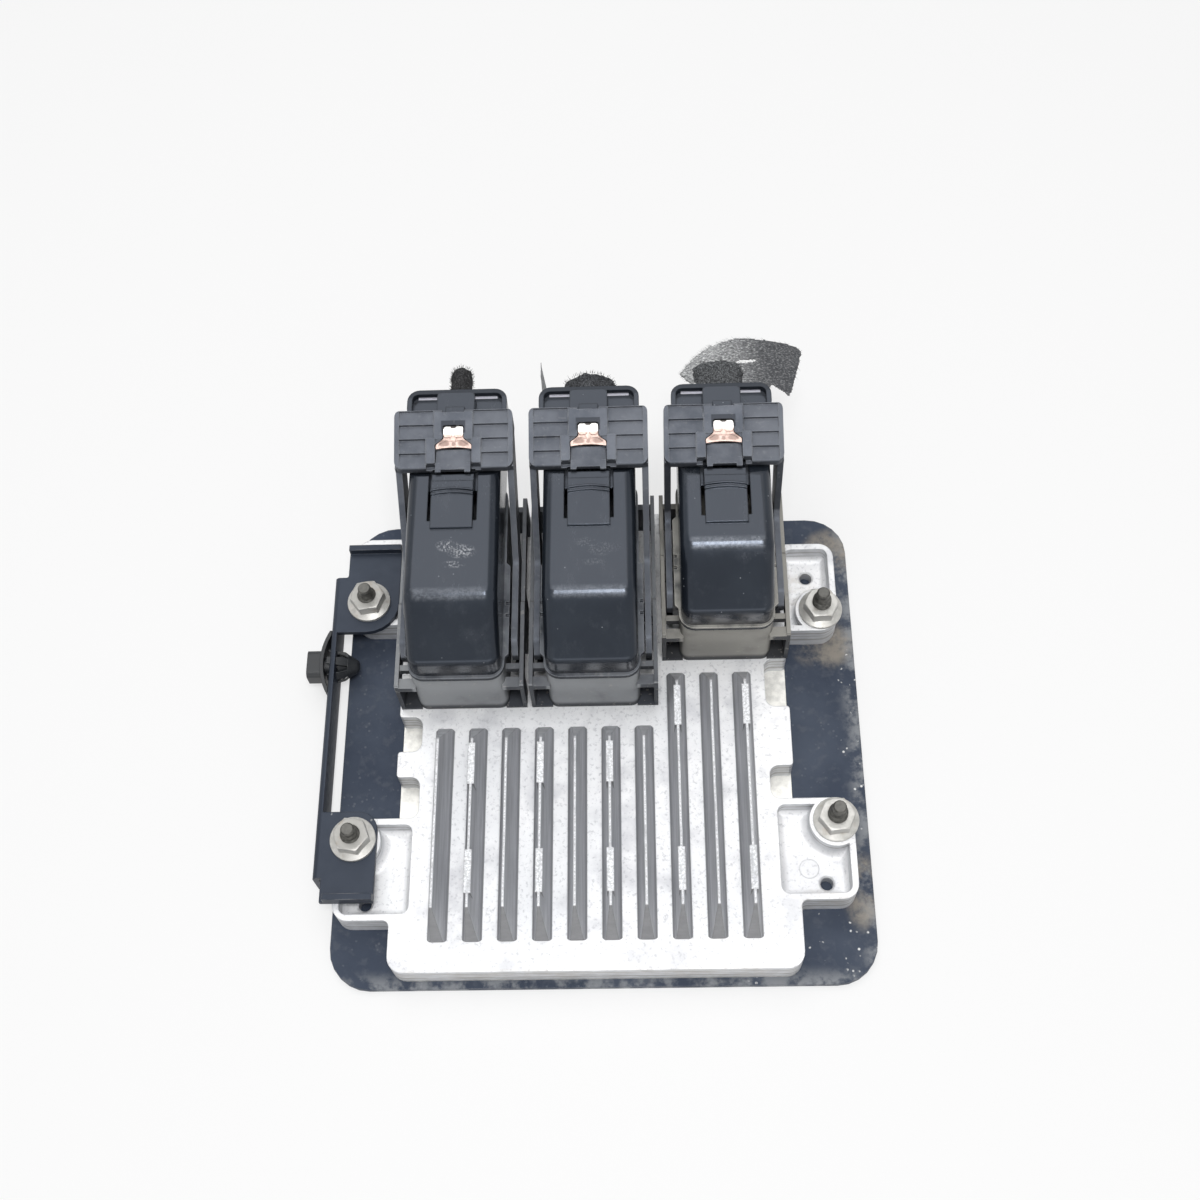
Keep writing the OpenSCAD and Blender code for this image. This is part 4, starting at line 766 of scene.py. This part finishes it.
def stub(side, rng):
    """A cut harness end: a lumpy taped bundle with short fibres on its tip."""
    node = "harness_stub_" + side
    spread, tip, ragged, past, fibres = STUBS[side]
    low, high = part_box(node)
    hood_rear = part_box("wire_cover_" + side)[1].y
    place = Vector((centre("wire_cover_" + side), 0, (low.z + high.z) / 2))
    r = (high.z - low.z) / 2
    end = high.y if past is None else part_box("harness_stub_right")[1].y + past * MM
    tip, ragged = tip * r, ragged * MM
    steps, tip_steps, turns = 24, 12, 64
    coarse, fine, shrink, torn = (420, 0.1), (1500, 0.06), 0.1, 500
    widen, inset, hole = 0.5 * MM, 0.2 * MM, 0.02 * MM
    sunk, outward, backward, hair_r = 0.93, 0.55, 0.6, 0.07 * MM

    def wobble(p, h):
        """Lumps all over, spread behind the hood and a ragged tip."""
        out = p - place - Vector((0, p.y, 0))
        lump = 1 + rough(p, *coarse) + rough(p, *fine) - shrink
        back = max(0.0, (h - (end - tip)) / tip) * ragged
        out.x *= 1 + (spread - 1) * min(1.0, max(0.0, (h - hood_rear) / widen))
        return place + out * lump + Vector((0, p.y - back * (0.5 + noise.noise(p * torn)), 0))

    profile = [(POLE, low.y), (r, low.y)]
    profile += [(r, low.y + (end - tip - low.y) * k / steps) for k in range(1, steps + 1)]
    for k in range(1, tip_steps + 1):
        a = 0.5 * math.pi * k / tip_steps
        profile.append((max(r * math.cos(a), hole), end - tip + tip * math.sin(a)))
    bm = bmesh.new()
    lathe(bm, profile, place, Vector((0, 1, 0)), turns, wobble)
    seen = link(node + "_seen", to_mesh(bm, node + "_seen", 60), node)
    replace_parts(seen, node)
    bm = bmesh.new()
    for _ in range(fibres):
        a = rng.uniform(0, 2 * math.pi)
        h = rng.uniform(hood_rear + widen, end - inset)
        curve = max(0.0, (h - (end - tip)) / tip)
        radius = r * math.sqrt(max(0.0, 1 - curve * curve)) * sunk
        out = Vector((math.cos(a), 0, math.sin(a)))
        root = place + Vector((out.x * spread, 0, out.z)) * radius + Vector((0, h, 0))
        way = (out * outward + Vector((0, backward + curve, 0))).normalized()
        hair(bm, root, way, rng.uniform(*FIBRE_LEN) * MM, hair_r, rng)
    link(node + "_hairs", to_mesh(bm, node + "_hairs"), node, FIBRE_DARK)


def clip_wings():
    """Springy wings that flare back from the nose of the clip in the bracket's slot."""
    node = "harness_clip"
    low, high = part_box(node)
    set_back, nose_r, half_wide = 0.4 * MM, 0.9, 1.5
    bend_back, bend_out, tail_out = 0.45, 0.62, 0.85
    front = Vector((high.x - set_back, (low.y + high.y) / 2, (low.z + high.z) / 2))
    wings, back, flare, thick = 6, 9.5 * MM, 5.4 * MM, 0.8 * MM
    bm = bmesh.new()
    for k in range(wings):
        a = math.radians(360 / wings * (k + 0.5))
        out = Vector((0, math.cos(a), math.sin(a)))
        wide = Vector((0, -math.sin(a), math.cos(a))) * half_wide * MM
        nose = front + out * nose_r * MM
        bend = nose + Vector((-back * bend_back, 0, 0)) + out * flare * bend_out
        tail = nose + Vector((-back, 0, 0)) + out * flare * tail_out
        join(bm, [[bm.verts.new(p + side * wide * share + up * out * thick)
                   for side, up in ((-1, -0.5), (1, -0.5), (1, 0.5), (-1, 0.5))]
                  for p, share in ((nose, 0.5), (bend, 1.0), (tail, 0.8))])
    link("clip_wings", to_mesh(bm, "clip_wings"), node)


def strand(rng):
    """The loose strand beside the middle plug: a thin, bent wisp of fibres."""
    node = "harness_stub_middle"
    low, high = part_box(node)
    hood_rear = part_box("wire_cover_middle")[1].y
    length = high.y - hood_rear
    z = (low.z + high.z) / 2
    inside, behind = 3 * MM, 1.3 * MM
    foot = Vector((low.x + inside, hood_rear + behind, z))
    fibres, steps, lean, curl = 14, 10, 2.2 * MM, 0.8
    scatter, shares = (0.9, 0.6, 0.5), (0.55, 0.98)
    gather, stretch = 0.9, 0.92
    root_r, tip_r, turns = 0.42 * MM, 0.1 * MM, 6
    bm = bmesh.new()
    for _ in range(fibres):
        start = foot + Vector([rng.uniform(-s, s) for s in scatter]) * MM
        reach = length * rng.uniform(*shares)
        points = [start]
        for n in range(1, steps + 1):
            s = n / steps
            narrow = (1 - s) * gather
            points.append(Vector((foot.x - lean * s ** curl + (start.x - foot.x) * narrow,
                                  start.y + reach * s * stretch, z + (start.z - z) * narrow)))
        tube(bm, points, root_r, tip_r, turns)
    link("strand_seen", to_mesh(bm, "strand_seen", 60), node, FIBRE_STRAND)


def flap(rng):
    """Loose woven tape: a thin sheet with a frayed edge and a tear."""
    node = "tape_flap"
    data = frame["nodes"][node].data
    tree = BVHTree.FromPolygons([v.co for v in data.vertices], [p.vertices for p in data.polygons])
    low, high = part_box(node)
    step, thick = 0.35 * MM, 0.35 * MM
    tear = Vector((centre("wire_cover_right") + 9 * MM, high.y - 9.3 * MM))
    tear_half = Vector((3.2 * MM, 0.45 * MM))
    tilt = math.radians(7)
    above = 0.01
    fray_to, fray_left, fray_right = low.x + 14 * MM, 0.9 * MM, 0.45 * MM
    fray_scale, other, tear_scale, tear_rough = 700, Vector((5, 5, 5)), 900, 0.25 * MM
    wave, crumple, sunk = (160, 0.35 * MM), (900, 0.12 * MM), 0.2 * MM
    fringe_to, fringe_left, fringe_right, hair_r = low.x + 16 * MM, 0.8, 0.25, 0.06 * MM

    def surface(x, y):
        """Height of the CAD flap, or None beside it."""
        hit = tree.ray_cast(Vector((x, y, high.z + above)), Vector((0, 0, -1)))[0]
        return hit.z if hit else None

    def kept(x, y):
        """Whether a point lies inside the frayed outline and outside the tear."""
        p = Vector((x, y, 0))
        fray = fray_left if x < fray_to else fray_right
        dx = noise.noise(p * fray_scale) * fray
        dy = noise.noise(p * fray_scale + other) * fray
        if surface(x + dx, y + dy) is None:
            return False
        across = Vector((x - tear.x, y - tear.y))
        across.rotate(Matrix.Rotation(-tilt, 2))
        across.y += rough(p, tear_scale, tear_rough)
        return (across.x / tear_half.x) ** 2 + (across.y / tear_half.y) ** 2 > 1

    bm = bmesh.new()
    verts = {}
    nx, ny = (int((high[k] - low[k]) / step) + 1 for k in range(2))
    for i in range(nx + 1):
        for j in range(ny + 1):
            x, y = low.x + i * step, low.y + j * step
            z = surface(x, y)
            if z is not None and kept(x, y):
                p = Vector((x, y, 0))
                lift = rough(p, *wave) + rough(p, *crumple) - sunk
                verts[i, j] = bm.verts.new((x, y, z + lift))
    for i, j in verts:
        quad = [verts.get(c) for c in ((i, j), (i + 1, j), (i + 1, j + 1), (i, j + 1))]
        if all(quad):
            bm.faces.new(quad)
    bmesh.ops.delete(bm, geom=[v for v in bm.verts if not v.link_faces], context="VERTS")
    area = sum(f.calc_area() for f in bm.faces)
    rims = [(v.co.copy(), (v.co - f.calc_center_median()).normalized())
            for v in bm.verts if v.is_boundary for f in v.link_faces[:1]]
    seen = link("flap_seen", to_mesh(bm, "flap_seen", 60), node)
    mod = seen.modifiers.new("thickness", "SOLIDIFY")
    mod.thickness = thick
    mod.offset = -1
    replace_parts(seen, node)
    bm = bmesh.new()
    for p, way in rims:
        if rng.random() < (fringe_left if p.x < fringe_to else fringe_right):
            hair(bm, p, way, rng.uniform(*FIBRE_LEN) * MM, hair_r, rng)
    fringe = link("flap_fringe", to_mesh(bm, "flap_fringe"), node, FIBRE_PALE)


INNER = ("cover_seal", "circuit_board", "board_screws", "processor", "power_stages", "capacitors",
         "header_pins", "header_seal", "plug_seal")
BUILT = ("mounting_studs", "harness_stub", "tape_flap")


def stem(node):
    """A node's name without its side."""
    for s in SIDES:
        node = node.removesuffix("_" + s)
    return node


for name in frame["nodes"]:
    if stem(name) in INNER or stem(name) in BUILT:
        mesh = frame["nodes"][name].data
        mesh.materials.clear()
        mesh.materials.append(finish_of(name))
    else:
        dress(name, round_crest if stem(name) == "wire_cover" else None)

rng = random.Random(7)
studs()
clip_wings()
for s in SIDES:
    stub(s, rng)
strand(rng)
flap(rng)


# Camera, light and floor

def camera():
    """The photo's camera, fitted to the fins, the case, the plate, the nuts and the studs."""
    data = bpy.data.cameras.new("camera")
    data.lens = 46.84
    data.sensor_width = 36
    data.clip_start = 0.01
    obj = bpy.data.objects.new("camera", data)
    eye = Vector((0.0159029, -0.1871749, 0.4780499))
    right = Vector((0.99933819, -0.00452437, -0.03609306))
    down = Vector((-0.0201869, -0.89439812, -0.44681595))
    ahead = Vector((-0.03026, 0.44724885, -0.89389753))
    obj.matrix_world = Matrix.Translation(eye) @ Matrix((right, -down, -ahead)).transposed().to_4x4()
    bpy.context.scene.collection.objects.link(obj)
    bpy.context.scene.camera = obj


def area_light(name, place, aim, size, watts):
    data = bpy.data.lights.new(name, "AREA")
    data.shape = "RECTANGLE"
    data.size, data.size_y = size
    data.energy = watts
    obj = bpy.data.objects.new(name, data)
    obj.location = place
    obj.rotation_euler = (Vector(aim) - Vector(place)).to_track_quat("-Z", "Y").to_euler()
    bpy.context.scene.collection.objects.link(obj)


def white_to_camera(tree, output, surface, white, share=1.0):
    """Shows the camera, reflections and glass a share of white. All other light meets the surface."""
    seen, glossy, through = (add_node(tree, "ShaderNodeLightPath", out=name)
                             for name in ("Is Camera Ray", "Is Glossy Ray", "Is Transmission Ray"))
    looking = seen.max(glossy).max(through) * share
    mix = add_node(tree, "ShaderNodeMixShader", None, {0: looking, 1: surface, 2: white})
    plug(tree, tree.nodes[output].inputs["Surface"], mix)


def studio():
    """A pale floor that keeps the shadow, an even white world and three soft lamps."""
    reach, drop = 3.0, -0.0002
    pale, floor_glow, world_light = 0.88, 0.6, 0.32
    mesh = bpy.data.meshes.new("floor")
    corners = ((-1, -1), (1, -1), (1, 1), (-1, 1))
    mesh.from_pydata([(x * reach, y * reach, drop) for x, y in corners], [], [(0, 1, 2, 3)])
    floor = bpy.data.objects.new("floor", mesh)
    bpy.context.scene.collection.objects.link(floor)
    m = Material("floor", base_color=(pale, pale, pale), roughness=0.9, specular_ior_level=0.0)
    glow = add_node(m.tree, "ShaderNodeEmission", None, {"Color": WHITE})
    white_to_camera(m.tree, "Material Output", Sock(m.tree, m.shader.outputs[0]), glow, floor_glow)
    mesh.materials.append(m.mat)
    world = bpy.data.worlds.new("studio")
    world.use_nodes = True
    tree = world.node_tree
    back = tree.nodes["Background"]
    plug(tree, back.inputs["Color"], WHITE)
    plug(tree, back.inputs["Strength"], world_light)
    seen = add_node(tree, "ShaderNodeBackground", None, {"Color": WHITE})
    white_to_camera(tree, "World Output", Sock(tree, back.outputs[0]), seen)
    bpy.context.scene.world = world
    area_light("key", (0.06, -0.28, 1.08), (0.02, 0, 0.02), (0.3, 0.24), 5.6)
    area_light("front", (0.0, -0.9, 0.18), (0, 0, 0.03), (1.2, 0.3), 1.85)
    area_light("softbox", (-0.1, 0.44, 1.05), (0, 0.2, 0.02), (1.0, 1.0), 4.8)


camera()
studio()
bpy.context.scene.view_settings.view_transform = "Standard"
